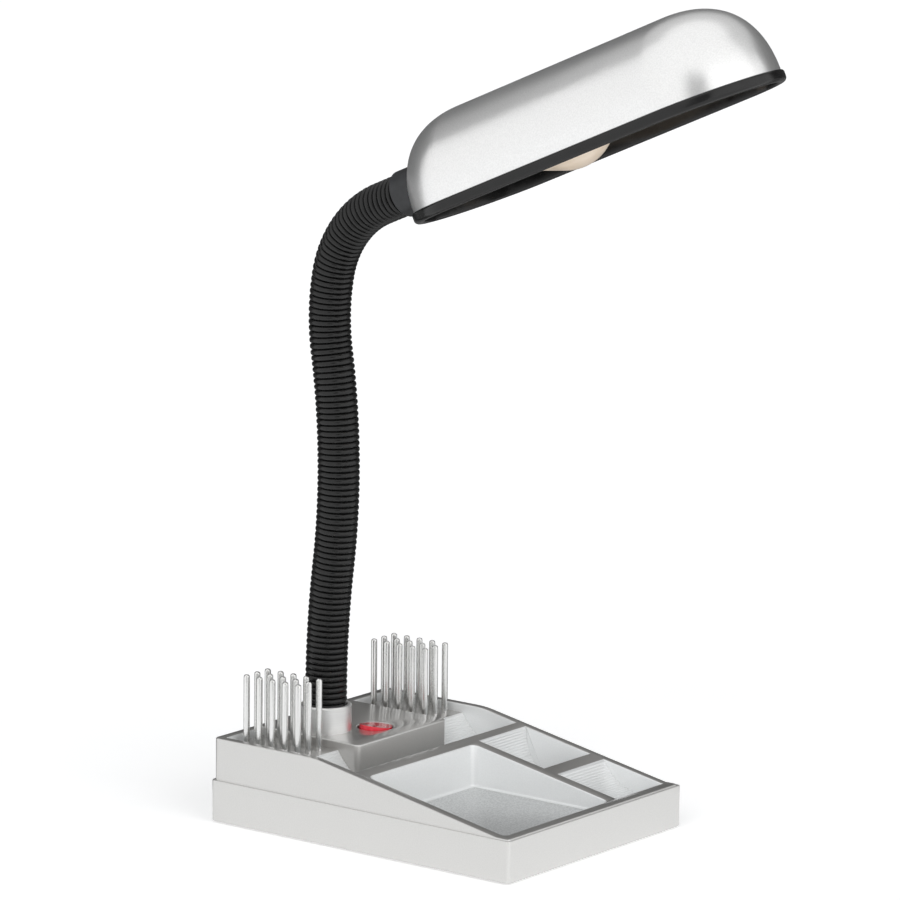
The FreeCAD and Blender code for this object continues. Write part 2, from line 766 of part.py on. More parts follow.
def make_cord_inlet():
    """Rubber grommet in the pan's back wall, flanged inside and out."""
    outer = "half_length + inlet_flange_thickness"
    inner = "pan_inner_y - inlet_flange_thickness"
    place = ("inlet_x", "inlet_z")
    outer_flange = cylinder("inlet_outer", "inlet_flange", ("half_length", outer), place, "Y")
    inner_flange = cylinder("inlet_inner", "inlet_flange", (inner, "pan_inner_y"), place, "Y")
    neck = cylinder("inlet_neck", "inlet_radius", (inner, outer), place, "Y")
    bore = cylinder("inlet_bore_space", "inlet_bore", (f"{inner} - overrun", f"{outer} + overrun"),
                    place, "Y")
    return cut("cord_inlet", fuse("inlet_solid", outer_flange, inner_flange, neck), bore)


def make_pins(name, sign):
    """Fifteen pen pins of one group, three across and five deep, with chamfered tips."""
    pins = []
    for column in range(int(number("pin_columns"))):
        for row in range(int(number("pin_rows"))):
            place = (f"{sign}(pin_first_x + {column} * pin_pitch_x)",
                     f"pin_first_y + {row} * pin_pitch_y")
            tag = f"{name}_{column}_{row}"
            shoulder = "foot_stand + pin_top - pin_tip"
            rod = cylinder(f"rod_{tag}", "pin_radius", ("shelf_z", shoulder), place)
            tip = doc.addObject("Part::Cone", f"tip_{tag}")
            bind(tip, Radius1="pin_radius", Radius2="pin_radius - pin_tip", Height="pin_tip")
            put(tip, place[0], place[1], shoulder)
            pins.append(fuse(f"pin_{tag}", rod, tip))
    return group(name, pins)


# Rocker switch


def make_switch_rocker():
    """Round rocker: a barrel about its pivot with a dished top and two trunnions, tilted on."""
    low = "-rocker_drop"
    end = "rocker_radius + overrun"
    face = "rocker_pivot + rocker_rise"
    side = [(f"-({end})", low), (end, low), (end, f"{face} + rocker_dish"), ("0", face),
            (f"-({end})", f"{face} + rocker_dish")]
    dished = padded("rocker_dished", "XZ_Plane", side, f"-({end})", end)
    plan = cylinder("rocker_plan", "rocker_radius", (low, f"{face} + rocker_dish"), ("0", "0"))
    barrel = cylinder("rocker_barrel", "rocker_sweep", (f"-({end})", end), ("0", "0"), "Y")
    body = common("rocker_body", dished, plan, barrel)
    pins = cylinder("rocker_trunnions", "trunnion_radius",
                    ("trunnion_gap - cup_outer", "cup_outer - trunnion_gap"), ("0", "0"), "Y")
    rocker = fuse("switch_rocker", body, pins)
    return put(rocker, "switch_x", "switch_y", "pivot_z", "0; 1; 0", "rocker_tilt")


def make_switch_housing():
    """Round cup that carries the rocker's trunnions under the plateau."""
    corners = [("0", "cup_bottom_z"), ("cup_outer", "cup_bottom_z"),
               ("cup_outer", "plateau_under_z"), ("cup_inner", "plateau_under_z"),
               ("cup_inner", "cup_bottom_z + cup_floor"), ("0", "cup_bottom_z + cup_floor")]
    cup = put(turned("switch_cup", corners), "switch_x", "switch_y")
    sockets = cylinder("switch_sockets", "trunnion_radius + trunnion_gap",
                       ("switch_y - half_width", "switch_y + half_width"),
                       ("switch_x", "pivot_z"), "Y")
    return cut("switch_housing", cup, sockets)


def make_switch_terminals():
    """Two blade terminals under the switch."""
    blades = []
    for tag, sign in (("lamp", "-"), ("supply", "+")):
        middle = f"switch_x {sign} 0.5 * blade_spacing"
        blades.append(box(f"{tag}_blade",
                          (f"{middle} - 0.5 * blade_width", f"{middle} + 0.5 * blade_width"),
                          ("switch_y - 0.5 * blade_thickness", "switch_y + 0.5 * blade_thickness"),
                          ("cup_bottom_z - blade_length", "cup_bottom_z")))
    return group("switch_terminals", blades)


# Wires inside the base


def bent_wire(name, corners):
    """Round wire through corner points, each corner an arc of the wire's bend radius."""
    points = [FreeCAD.Vector(*(number(value) for value in corner)) for corner in corners]
    bend = number("wire_bend")
    edges = []
    here = points[0]
    for before, corner, after in zip(points, points[1:], points[2:]):
        back = (before - corner).normalize()
        ahead = (after - corner).normalize()
        reach = bend / math.tan(back.getAngle(ahead) / 2)
        enter, leave = corner + back * reach, corner + ahead * reach
        towards = (back + ahead).normalize()
        middle = corner + towards * (bend / math.sin(back.getAngle(ahead) / 2) - bend)
        edges += [Part.LineSegment(here, enter).toShape(), Part.Arc(enter, middle, leave).toShape()]
        here = leave
    edges.append(Part.LineSegment(here, points[-1]).toShape())
    path = Part.Wire(edges)
    ring = Part.Wire(Part.makeCircle(number("wire_radius"), points[0], points[1] - points[0]))
    return feature(name, path.makePipeShell([ring], True, False))


def make_supply_wire():
    """From the inlet's inner end to the switch's supply blade."""
    blade_x = "switch_x + 0.5 * blade_spacing"
    blade_z = "cup_bottom_z - blade_length"
    inlet_y = "pan_inner_y - inlet_flange_thickness"
    return bent_wire("supply_wire", [
        ("inlet_x", inlet_y, "inlet_z"), ("inlet_x", "supply_turn_y", "inlet_z"),
        (blade_x, "supply_turn_y", "wire_z"), (blade_x, "switch_y", "wire_z"),
        (blade_x, "switch_y", blade_z)])


def make_lamp_wire():
    """From the switch's lamp blade down, across and up into the threaded tube."""
    blade_x = "switch_x - 0.5 * blade_spacing"
    blade_z = "cup_bottom_z - blade_length"
    return bent_wire("lamp_wire", [
        (blade_x, "switch_y", blade_z), (blade_x, "switch_y", "wire_z"),
        ("-neck_left", "neck_back", "wire_z"),
        ("-neck_left", "neck_back", "base_tube_bottom_z + wire_inside")])


# Neck


def neck_stretches():
    """The centreline's stretches in order: length and turn towards the front in degrees."""
    arcs = [(number(f"length_{name}"), number(f"turn_{name}"))
            for name in ("first", "second", "third", "fourth")]
    return [(number("neck_run"), 0.0)] + arcs + [(number("neck_end_run"), 0.0)]


def neck_station(distance):
    """Point of the centreline at a distance from the plateau, and its lean in radians."""
    y, z, lean = number("neck_back"), number("plateau_z"), 0.0
    for length, turn in neck_stretches():
        step = min(distance, length)
        turned_by = math.radians(turn) * step / length
        if turned_by:
            radius = step / turned_by
            y -= radius * (math.cos(lean) - math.cos(lean + turned_by))
            z += radius * (math.sin(lean + turned_by) - math.sin(lean))
        else:
            y -= step * math.sin(lean)
            z += step * math.cos(lean)
        lean += turned_by
        distance -= step
        if distance <= 0:
            break
    return FreeCAD.Vector(-number("neck_left"), y, z), lean


def neck_path(start, end):
    """Wire of lines and arcs along the centreline between two distances."""
    edges = []
    passed = 0.0
    for length, turn in neck_stretches():
        low, high = max(start, passed), min(end, passed + length)
        if high - low > 1e-6:
            first, last = neck_station(low)[0], neck_station(high)[0]
            if turn:
                middle = neck_station((low + high) / 2)[0]
                edges.append(Part.Arc(first, middle, last).toShape())
            else:
                edges.append(Part.LineSegment(first, last).toShape())
        passed += length
    return Part.Wire(edges)


def neck_circle(distance, radius):
    """Circle square to the centreline, its own X axis always along the lamp's width."""
    point, lean = neck_station(distance)
    circle = Part.makeCircle(radius)
    circle.Placement = FreeCAD.Placement(
        point, FreeCAD.Rotation(FreeCAD.Vector(1, 0, 0), math.degrees(lean)))
    return Part.Wire(circle)


def neck_rod(start, end, radius):
    """Solid rod along the centreline."""
    path = neck_path(start, end)
    return path.makePipeShell([neck_circle(start, radius)], True, False)


def make_neck_sleeve():
    """Corrugated sleeve: a ruled loft through the circles of its ribs, with a bore."""
    start, end = number("sleeve_start"), number("sleeve_end")
    crest, groove = number("sleeve_radius"), number("sleeve_radius - rib_depth")
    ribs = int(number("rib_count"))
    rise, flat = number("rib_rise_share"), number("rib_crest_share")
    pitch = (end - start) / ribs
    circles = [neck_circle(start, groove)]
    for rib in range(ribs):
        foot = start + rib * pitch
        circles.append(neck_circle(foot + rise * pitch, crest))
        circles.append(neck_circle(foot + (rise + flat) * pitch, crest))
        circles.append(neck_circle(foot + pitch, groove))
    ribbed = Part.makeLoft(circles, True, True)
    return feature("neck_sleeve", ribbed.cut(neck_rod(start, end, number("sleeve_bore"))))


def make_neck_cores():
    """Links of the neck's inner tube, each ending half a gap before its hinge."""
    hinges = [number(f"hinge_{name}")
              for name in ("side", "first", "second", "third", "fourth", "head")]
    half_gap = number("hinge_gap") / 2
    starts = [number("collar_floor + tube_above")] + [hinge + half_gap for hinge in hinges[:-1]]
    cores = []
    for index, (start, hinge) in enumerate(zip(starts, hinges), start=1):
        end = hinge - half_gap
        link = neck_rod(start, end, number("core_radius"))
        cores.append(feature(f"neck_core_{index}",
                             link.cut(neck_rod(start, end, number("core_bore")))))
    return cores


def make_neck_collar():
    """Turned collar on the plateau that the sleeve stands in."""
    hole, bore = "tube_radius + tube_hole_gap", "collar_bore"
    top = "plateau_z + collar_height"
    seat = "plateau_z + collar_floor"
    corners = [(hole, "plateau_z"), ("collar_radius", "plateau_z"),
               ("collar_radius", f"{top} - collar_edge"), ("collar_radius - collar_edge", top),
               (bore, top), (bore, seat), (hole, seat)]
    return put(turned("neck_collar", corners), "-neck_left", "neck_back")


def make_tube(name, low, high):
    """Threaded tube: a ring section turned between two heights."""
    return turned(name, [("tube_bore", low), ("tube_radius", low), ("tube_radius", high),
                         ("tube_bore", high)])


def make_base_fasteners():
    """Threaded tube through the plateau, with its washer and hexagon nut underneath."""
    tube = put(make_tube("base_tube", "base_tube_bottom_z", "base_tube_top_z"),
               "-neck_left", "neck_back")
    place = ("-neck_left", "neck_back")
    low = "plateau_under_z - washer_thickness"
    disc = cylinder("base_washer_disc", "washer_radius", (low, "plateau_under_z"), place)
    hole = cylinder("base_washer_hole", "tube_radius + tube_hole_gap", ("seam_z", "above_z"), place)
    return [tube, cut("base_washer", disc, hole),
            make_nut("base_nut", f"{low} - nut_height", low, "-neck_left", "neck_back")]


def make_nut(name, low, high, x, y):
    """Hexagon nut between two heights, with a clear bore for the threaded tube."""
    blank = doc.addObject("Part::Prism", name + "_blank")
    blank.Polygon = 6
    bind(blank, Circumradius="nut_width / (2 * cos(30))", Height=f"({high}) - ({low})")
    put(blank, x, y, low)
    bore = cylinder(name + "_bore", "tube_radius + thread_gap",
                    (f"{low} - overrun", f"{high} + overrun"), (x, y))
    return cut(name, blank, bore)


# Head, drawn in its own frame


def capsule(inset):
    """Solid capsule of the shade, inset from its outside; its ends turn, its middle runs."""
    radius = number("shade_radius") - inset
    height = number("shade_height") - inset
    share = number("arch_share")
    rear, front = -number("shade_radius"), number("shade_radius - shade_length")

    def arch(side):
        curve = Part.BezierCurve()
        curve.setPoles([FreeCAD.Vector(side * radius, 0, 0),
                        FreeCAD.Vector(side * radius, 0, share * height),
                        FreeCAD.Vector(side * share * radius, 0, height),
                        FreeCAD.Vector(0, 0, height)])
        return curve.toShape()

    base, top = FreeCAD.Vector(0, 0, 0), FreeCAD.Vector(0, 0, height)
    foot = FreeCAD.Vector(radius, 0, 0)
    half = Part.Face(Part.Wire([Part.LineSegment(base, foot).toShape(), arch(1),
                                Part.LineSegment(top, base).toShape()]))
    upward = FreeCAD.Vector(0, 0, 1)
    rear_end = half.revolve(base, upward, 180).translated(FreeCAD.Vector(0, rear, 0))
    front_end = half.revolve(base, upward, -180).translated(FreeCAD.Vector(0, front, 0))
    section = Part.Face(Part.Wire([Part.LineSegment(-foot, foot).toShape(), arch(1), arch(-1)]))
    middle = section.extrude(FreeCAD.Vector(0, front - rear, 0))
    middle.translate(FreeCAD.Vector(0, rear, 0))
    return rear_end.fuse([middle, front_end]).removeSplitter()


def stadium(inset, low, high):
    """Upright stadium plate under the shade's outline, inset from it, between two heights."""
    radius = number("shade_radius") - inset
    rear, front = -number("shade_radius"), number("shade_radius - shade_length")
    plate = Part.makeBox(2 * radius, rear - front, high - low, FreeCAD.Vector(-radius, front, low))
    ends = [Part.makeCylinder(radius, high - low, FreeCAD.Vector(0, y, low)) for y in (rear, front)]
    return plate.fuse(ends).removeSplitter()


def neck_bore_in_head(radius):
    """Long cylinder on the neck's axis, to cut the shell and the saddle."""
    reach = number("shade_radius")
    start = FreeCAD.Vector(0, reach, number("neck_axis_rise"))
    return Part.makeCylinder(radius, 2 * reach, start, FreeCAD.Vector(0, -1, 0))


def make_shade_shell():
    """The shade: a thin capsule open below, with a hole for the threaded tube at its rear."""
    shell = capsule(0).cut(capsule(number("shade_wall")))
    return put_on_head(feature("shade_shell", shell.cut(
        neck_bore_in_head(number("tube_radius + tube_hole_gap")))))


def make_heat_reflector():
    """Bright liner under the shade's roof, over the bulb."""
    outer = number("shade_wall + reflector_gap")
    inner = outer + number("reflector_wall")
    liner = capsule(outer).cut(capsule(inner))
    length = number("shade_length - reflector_rear - reflector_front")
    width = number("shade_radius")
    room = Part.makeBox(2 * width, length, number("shade_height"), FreeCAD.Vector(
        -width, number("reflector_front - shade_length"), number("reflector_bottom")))
    return put_on_head(feature("heat_reflector", liner.common(room)))


def make_shade_rim():
    """Black rim under the shade: a stadium ring with an upstand inside the shell."""
    low = -number("rim_height")
    ring = stadium(-number("rim_outset"), low, 0)
    edge = number("rim_edge")
    lower = [item for item in ring.Edges if level(item, low)]
    ring = ring.makeFillet(edge, lower)
    upstand = stadium(number("shade_wall + rim_gap"), low + edge, number("rim_upstand"))
    opening = stadium(number("rim_inset"), 2 * low, -2 * low)
    return put_on_head(feature("shade_rim", ring.fuse(upstand).cut(opening).removeSplitter()))


def along(rise, thing):
    """Lays a turned head piece along the shade at a height over its edge, top end to the front."""
    return put(thing, "0", "0", rise, "1; 0; 0", "90")


def make_head_ferrule():
    """Smooth sleeve end behind the shade, its front cut to the shade's curve."""
    hole, bore = "tube_radius + tube_hole_gap", "collar_bore"
    rear = "-ferrule_length"
    seat = "ferrule_grip - ferrule_length"
    corners = [(hole, seat), (bore, seat), (bore, rear), ("ferrule_radius - ferrule_edge", rear),
               ("ferrule_radius", f"{rear} + ferrule_edge"), ("ferrule_radius", "ferrule_reach"),
               (hole, "ferrule_reach")]
    sleeve = along("neck_axis_rise", turned("ferrule_sleeve", corners))
    shade = feature("ferrule_seat", capsule(-number("seat_gap")))
    return put_on_head(cut("head_ferrule", sleeve, shade))


def make_head_saddle():
    """Spacer inside the shade: curved to the shell behind, flat for the nut in front."""
    room = capsule(number("shade_wall + seat_gap"))
    rise = number("neck_axis_rise")
    clear_of_rim = number("neck_axis_rise - rim_upstand - rim_gap")
    drum = Part.makeCylinder(clear_of_rim, number("saddle_front"), FreeCAD.Vector(0, 0, rise),
                             FreeCAD.Vector(0, -1, 0))
    saddle = drum.common(room).cut(neck_bore_in_head(number("tube_radius + tube_hole_gap")))
    return put_on_head(feature("head_saddle", saddle))


def make_head_tube():
    """Threaded tube from the last hinge through ferrule, shell and saddle to the holder cap."""
    start = number("hinge_head + hinge_gap / 2")
    end = number("neck_length + head_tube_front")
    run = number("neck_length")
    tail = number("head_tube_front")
    outer = neck_rod(start, run, number("tube_radius"))
    inner = neck_rod(start, run, number("tube_bore"))
    tip, lean = neck_station(run)
    ahead = FreeCAD.Vector(0, -math.sin(lean), math.cos(lean))
    outer = outer.fuse(Part.makeCylinder(number("tube_radius"), tail, tip, ahead))
    inner = inner.fuse(Part.makeCylinder(number("tube_bore"), tail, tip, ahead))
    return feature("head_tube", outer.cut(inner).removeSplitter())


def make_head_nut():
    """Nut that clamps saddle, shell and ferrule."""
    nut = make_nut("head_nut_body", "saddle_front", "holder_nut_front", "0", "0")
    return put_on_head(group("head_nut", [along("neck_axis_rise", nut)]))


def make_lampholder_cap():
    """Domed cap screwed on the threaded tube, closing the lampholder's rear."""
    rear = "holder_nut_front"
    shoulder = f"{rear} + cap_nose_length"
    corners = [("0", rear), ("cap_nose_radius", rear), ("cap_nose_radius", shoulder),
               ("holder_radius", "holder_rear"), ("holder_radius - cap_wall", "holder_rear"),
               ("cap_nose_radius - cap_wall", shoulder),
               ("cap_nose_radius - cap_wall", f"{rear} + cap_wall"), ("0", f"{rear} + cap_wall")]
    dome = along("bulb_axis_rise", turned("cap_dome", corners))
    hole = feature("cap_hole", neck_bore_in_head(number("tube_radius + thread_gap")))
    return put_on_head(cut("lampholder_cap", dome, hole))


def make_lampholder():
    """Insulating skirt with a floor for the contact and a bore for the screw shell."""
    floor_rear = "holder_floor_front - holder_floor"
    corners = [("holder_radius", "holder_rear"), ("holder_radius", "holder_front"),
               ("holder_bore", "holder_front"), ("holder_bore", "holder_floor_front"),
               ("0", "holder_floor_front"), ("0", floor_rear),
               ("holder_radius - cap_wall", floor_rear), ("holder_radius - cap_wall", "holder_rear")]
    skirt = along("bulb_axis_rise", turned("holder_skirt", corners))
    return put_on_head(group("lampholder", [skirt]))


def make_screw_shell():
    """Brass shell inside the lampholder that the bulb's cap screws into."""
    inner = "bulb_cap_radius + holder_gap"
    outer = f"{inner} + screw_shell_wall"
    top = "holder_front - cap_wall"
    corners = [(inner, "holder_floor_front"), (outer, "holder_floor_front"), (outer, top),
               (inner, top)]
    shell = along("bulb_axis_rise", turned("brass_shell", corners))
    return put_on_head(group("screw_shell", [shell]))


def make_lampholder_contact():
    """Brass tongue on the lampholder's floor, under the bulb's end contact."""
    half_width, half_length = "0.5 * spring_width", "bulb_cap_radius - cap_wall"
    tongue = box("contact_tongue", (f"-{half_width}", half_width),
                 (f"-({half_length})", half_length),
                 ("holder_floor_front", "holder_floor_front + spring_thickness"))
    laid = along("bulb_axis_rise", group("contact_laid", [tongue]))
    return put_on_head(group("lampholder_contact", [laid]))


def make_bulb_cap():
    """The bulb's screw cap, a thin cup with a sloped insulated end."""
    slope = "bulb_cap_rear + bulb_contact_radius"
    inner = "bulb_cap_radius - bulb_cap_wall"
    corners = [("0", "bulb_cap_rear"), ("bulb_contact_radius", "bulb_cap_rear"),
               ("bulb_cap_radius", slope), ("bulb_cap_radius", "bulb_cap_front"),
               (inner, "bulb_cap_front"), (inner, f"{slope} + bulb_cap_wall"),
               ("0", f"{slope} + bulb_cap_wall")]
    cup = along("bulb_axis_rise", turned("bulb_cup", corners))
    return put_on_head(group("bulb_cap", [cup]))


def make_bulb_contact():
    """Round end contact of the bulb."""
    corners = [("0", "bulb_cap_rear - bulb_contact_height"),
               ("bulb_contact_radius", "bulb_cap_rear - bulb_contact_height"),
               ("bulb_contact_radius", "bulb_cap_rear"), ("0", "bulb_cap_rear")]
    button = along("bulb_axis_rise", turned("contact_button", corners))
    return put_on_head(group("bulb_contact", [button]))


def glass_solid(inset):
    """Turned bulb form inset from the glass's outside: neck, tangent cone and ball."""
    radius = number("bulb_radius") - inset
    centre = number("bulb_centre")
    neck = number("bulb_cap_radius - bulb_cap_wall - seat_gap") - inset
    root = number("bulb_cap_front - bulb_glass_grip")
    shoulder = number("bulb_cap_front")
    reach = math.hypot(neck, centre - shoulder)
    angle = math.atan2(neck, centre - shoulder) + math.acos(radius / reach)

    def at(distance, height):
        return FreeCAD.Vector(distance, 0, height)

    touch = at(radius * math.sin(angle), centre - radius * math.cos(angle))
    tip = at(0, centre + radius)
    middle_angle = (angle + math.pi) / 2
    side = at(radius * math.sin(middle_angle), centre - radius * math.cos(middle_angle))
    edges = [Part.LineSegment(at(0, root), at(neck, root)).toShape(),
             Part.LineSegment(at(neck, root), at(neck, shoulder)).toShape(),
             Part.LineSegment(at(neck, shoulder), touch).toShape(),
             Part.Arc(touch, side, tip).toShape(),
             Part.LineSegment(tip, at(0, root)).toShape()]
    return Part.Face(Part.Wire(edges)).revolve(at(0, 0), at(0, 1), 360)


def make_bulb_glass():
    """Hollow glass of the bulb, open at its neck inside the cap."""
    glass = glass_solid(0).cut(glass_solid(number("bulb_glass_wall")))
    laid = along("bulb_axis_rise", feature("glass_upright", glass))
    return put_on_head(group("bulb_glass", [laid]))


def make_all():
    """Every piece of the lamp, named as it is written."""
    pieces = [
        make_base_pan(), make_top_housing(), make_ballast_plate(), make_ballast_screws(),
        make_rubber_feet(), make_base_screws(), make_cord_inlet(),
        make_pins("left_pins", "-"), make_pins("right_pins", ""),
        make_switch_rocker(), make_switch_housing(), make_switch_terminals(),
        make_supply_wire(), make_lamp_wire(), make_neck_collar(), make_neck_sleeve(),
    ]
    pieces += make_base_fasteners()
    pieces += make_neck_cores()
    pieces += [
        make_head_tube(), make_head_ferrule(), make_head_saddle(), make_head_nut(),
        make_shade_shell(), make_shade_rim(), make_heat_reflector(),
        make_lampholder_cap(), make_lampholder(), make_screw_shell(), make_lampholder_contact(),
        make_bulb_cap(), make_bulb_contact(), make_bulb_glass(),
    ]
    return pieces


def check(pieces):
    """Stops on any object that failed to build or any piece without a valid solid."""
    failed = [item.Label for item in doc.Objects if {"Invalid", "Error"} & set(item.State)]
    if failed:
        raise RuntimeError(f"objects failed to recompute: {failed}")
    for piece in pieces:
        shape = piece.Shape
        if shape.isNull() or not shape.isValid() or not shape.Solids:
            raise RuntimeError(f"{piece.Label} has no valid solid")


def main():
    fill_sheets()
    pieces = make_all()
    doc.recompute()
    check(pieces)
    os.makedirs("parts", exist_ok=True)
    for piece in pieces:
        piece.Label = piece.Name
        piece.Shape.exportStep(f"parts/{piece.Name}.step")
    print(f"{len(pieces)} pieces written")


main()
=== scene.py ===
import json
import math

import bmesh
import bpy
from mathutils import Matrix, Vector


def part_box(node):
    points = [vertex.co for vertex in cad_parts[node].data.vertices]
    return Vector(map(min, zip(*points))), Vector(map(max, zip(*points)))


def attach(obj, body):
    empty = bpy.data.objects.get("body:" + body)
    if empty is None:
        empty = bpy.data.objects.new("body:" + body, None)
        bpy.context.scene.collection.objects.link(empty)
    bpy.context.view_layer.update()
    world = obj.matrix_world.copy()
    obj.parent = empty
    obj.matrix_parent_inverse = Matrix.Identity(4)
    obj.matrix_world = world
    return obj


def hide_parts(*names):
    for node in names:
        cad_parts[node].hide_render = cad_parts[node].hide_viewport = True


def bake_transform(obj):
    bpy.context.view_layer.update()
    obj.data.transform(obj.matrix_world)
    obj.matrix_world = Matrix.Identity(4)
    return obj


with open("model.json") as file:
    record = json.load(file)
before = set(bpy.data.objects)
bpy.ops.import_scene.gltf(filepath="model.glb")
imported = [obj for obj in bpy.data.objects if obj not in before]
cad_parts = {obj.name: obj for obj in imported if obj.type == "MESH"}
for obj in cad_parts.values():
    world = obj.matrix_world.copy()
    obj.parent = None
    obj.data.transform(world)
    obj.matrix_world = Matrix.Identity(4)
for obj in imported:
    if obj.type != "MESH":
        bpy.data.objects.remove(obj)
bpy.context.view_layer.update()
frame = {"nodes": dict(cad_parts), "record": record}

# Dresses the imported desk lamp: rounded edges on the base, ribbed scoops, domed pins, a corrugated
# neck in six lengths and a round rim, with a material for every slot. Metres, in the frame's axes.

MM = 0.001

# Base, in the sizes that the CAD model was drawn with: each arc is the place along the base and
# the height of its middle, and its radius; each reach is where it starts and ends
EDGE_RADIUS = 0.55 * MM
PAN_EDGE_RADIUS = 0.5 * MM
SEAM_Z = 23 * MM
SIDE_RIM = 6 * MM
MAIN_TRAY_FLOOR_Z = 17 * MM
BLOCK_FRONT_Y = 26 * MM
TRAY_BOTTOM_Z = 9 * MM
WALL_REACH = (68.2 * MM, 91.2 * MM)
SCOOP_WIDTH = 39.8 * MM
BLOCK_HALF = 37.5 * MM
SLOPE_FOOT = (-88.2 * MM, 23.6 * MM)
SLOPE_TOP = (29.3 * MM, 45.2 * MM)
CLIP_ARC = (-31.7 * MM, 39.5 * MM, 31 * MM)
CLIP_REACH = (-42.5 * MM, -0.7 * MM)
COIN_ARC = (-76 * MM, 42.5 * MM, 27 * MM)
COIN_REACH = (-89.4 * MM, -51.3 * MM)
RAMP_ARC = (5.3 * MM, 64 * MM, 43 * MM)
RAMP_REACH = (6 * MM, 41.44 * MM)
SCOOP_RIB_PITCH = 1.5 * MM
SCOOP_RIB_HEIGHT = 0.22 * MM
SCOOP_RIB_STEPS = 6
SCOOP_SKIN = 0.25 * MM
SCOOP_EDGE_DROP = 0.4 * MM
SCOOP_CLEARANCE = 0.05 * MM
ARC_STEPS = 400

# Housing materials, as indices; the deck's is the paint darkened as painted shade, the tray walls'
# is the paint lightened as painted light
OUTSIDE, TRAY_GRAIN, SHADED_DECK, LIT_TRAY_WALL = range(4)

# Turns in degrees: what counts as flat, as a corner to round, as a square corner and as a sharp
# edge of the shading
FLAT_TURN = 0.4
CORNER_TURN = 32
SQUARE_TURN = 60
SHARP_TURN = 35
PIN_SHARP = 50
SLEEVE_SHARP = 60
SCOOP_SHARP = 75

# Vertices closer than this are one
MERGE_DISTANCE = 0.001 * MM

# Neck, in millimetres: stretches of the centreline, each a length and a turn towards the front in
# degrees; the hinges are distances along it
NECK_STRETCHES = [(20.1, 0), (68.6, 7.2), (111.8, -16.3), (41.2, 19.9), (52.7, 55.6), (28.8, 0)]
SLEEVE_START = 3.0
SLEEVE_END = 315.2
SLEEVE_RADIUS = 11.0
SLEEVE_BORE = 5.9
RIB_DEPTH = 1.4
RIB_COUNT = 103
RIB_STEPS = 10
RING_POINTS = 48
HINGES = [31.8, 82.0, 135.0, 190.0, 240.0, 290.0]
BEND_REACH = 15.5

# Pins
PIN_RADIUS = 1.625 * MM
PIN_DOME = 1.3 * MM
PIN_COLUMNS = 3
PIN_ROWS = 5
PIN_SIDES = 24
PIN_DOME_TURNS = (20, 40, 60, 78)

# Shade rim, in millimetres: heights over its lowest face and insets from its outline
RIM_TOP = 5.9
UPSTAND_HEIGHT = 4.0
UPSTAND_INSET = 3.15
OPENING_INSET = 4.35
RIM_LOWER_ROUND = 2.3
RIM_UPPER_ROUND = 1.3
RIM_INNER_ROUND = 1.2
UPSTAND_ROUND = 0.3
RIM_END_STEPS = 40

# Camera, found from the photograph
CAMERA_PLACE = Vector((-2.34349, -1.80578, 0.79197))
CAMERA_HEADING = 37.827
CAMERA_PITCH = -11.079
CAMERA_ROLL = 0.529
CAMERA_LENS = 235.57
CAMERA_SENSOR = 36
CAMERA_SHIFT = (0.0248, -0.0304)

# Light: headings and heights in degrees
SKY_COLOR = (0.96, 0.98, 1, 1)
SKY_STRENGTH = 0.38
FLOOR_GLOW = 0.46
FLOOR_REACH = 12.0
SOFTBOX_SPREAD = 50
SOFTBOX_HEIGHT = 24
CARD_STEPS = 24


# Materials


def new_material(name, color, metallic, roughness, **sockets):
    """A material whose Principled shader has its constants set on the sockets."""
    material = bpy.data.materials.new(name)
    material.use_nodes = True
    shader = material.node_tree.nodes["Principled BSDF"]
    shader.inputs["Base Color"].default_value = (*color, 1)
    shader.inputs["Metallic"].default_value = metallic
    shader.inputs["Roughness"].default_value = roughness
    for socket, value in sockets.items():
        shader.inputs[socket.replace("_", " ")].default_value = value
    return material, shader


def noise(material, scale, detail=2.0, stretch=(1, 1, 1)):
    """Noise over the piece's own coordinates, its scale in cells per metre; gives a factor."""
    nodes, links = material.node_tree.nodes, material.node_tree.links
    coordinate = nodes.new("ShaderNodeTexCoord")
    mapping = nodes.new("ShaderNodeMapping")
    mapping.inputs["Scale"].default_value = stretch
    texture = nodes.new("ShaderNodeTexNoise")
    texture.inputs["Scale"].default_value = scale
    texture.inputs["Detail"].default_value = detail
    links.new(coordinate.outputs["Object"], mapping.inputs["Vector"])
    links.new(mapping.outputs["Vector"], texture.inputs["Vector"])
    return texture.outputs["Fac"]


def tint(material, shader, factor, low, high, edges=(0.35, 0.65)):
    """Base colour that runs from one to another with a factor."""
    ramp = material.node_tree.nodes.new("ShaderNodeValToRGB")
    ramp.color_ramp.elements[0].position = edges[0]
    ramp.color_ramp.elements[0].color = (*low, 1)
    ramp.color_ramp.elements[1].position = edges[1]
    ramp.color_ramp.elements[1].color = (*high, 1)
    material.node_tree.links.new(factor, ramp.inputs["Fac"])
    material.node_tree.links.new(ramp.outputs["Color"], shader.inputs["Base Color"])


def vary_roughness(material, shader, factor, low, high):
    """Roughness that runs between two values with a factor."""
    spread = material.node_tree.nodes.new("ShaderNodeMapRange")
    spread.inputs["From Min"].default_value = 0.3
    spread.inputs["From Max"].default_value = 0.7
    spread.inputs["To Min"].default_value = low
    spread.inputs["To Max"].default_value = high
    material.node_tree.links.new(factor, spread.inputs["Value"])
    material.node_tree.links.new(spread.outputs["Result"], shader.inputs["Roughness"])


def bump(material, shader, factor, height):
    """Relief of a height in metres."""
    relief = material.node_tree.nodes.new("ShaderNodeBump")
    relief.inputs["Strength"].default_value = 1
    relief.inputs["Distance"].default_value = height
    material.node_tree.links.new(factor, relief.inputs["Height"])
    material.node_tree.links.new(relief.outputs["Normal"], shader.inputs["Normal"])


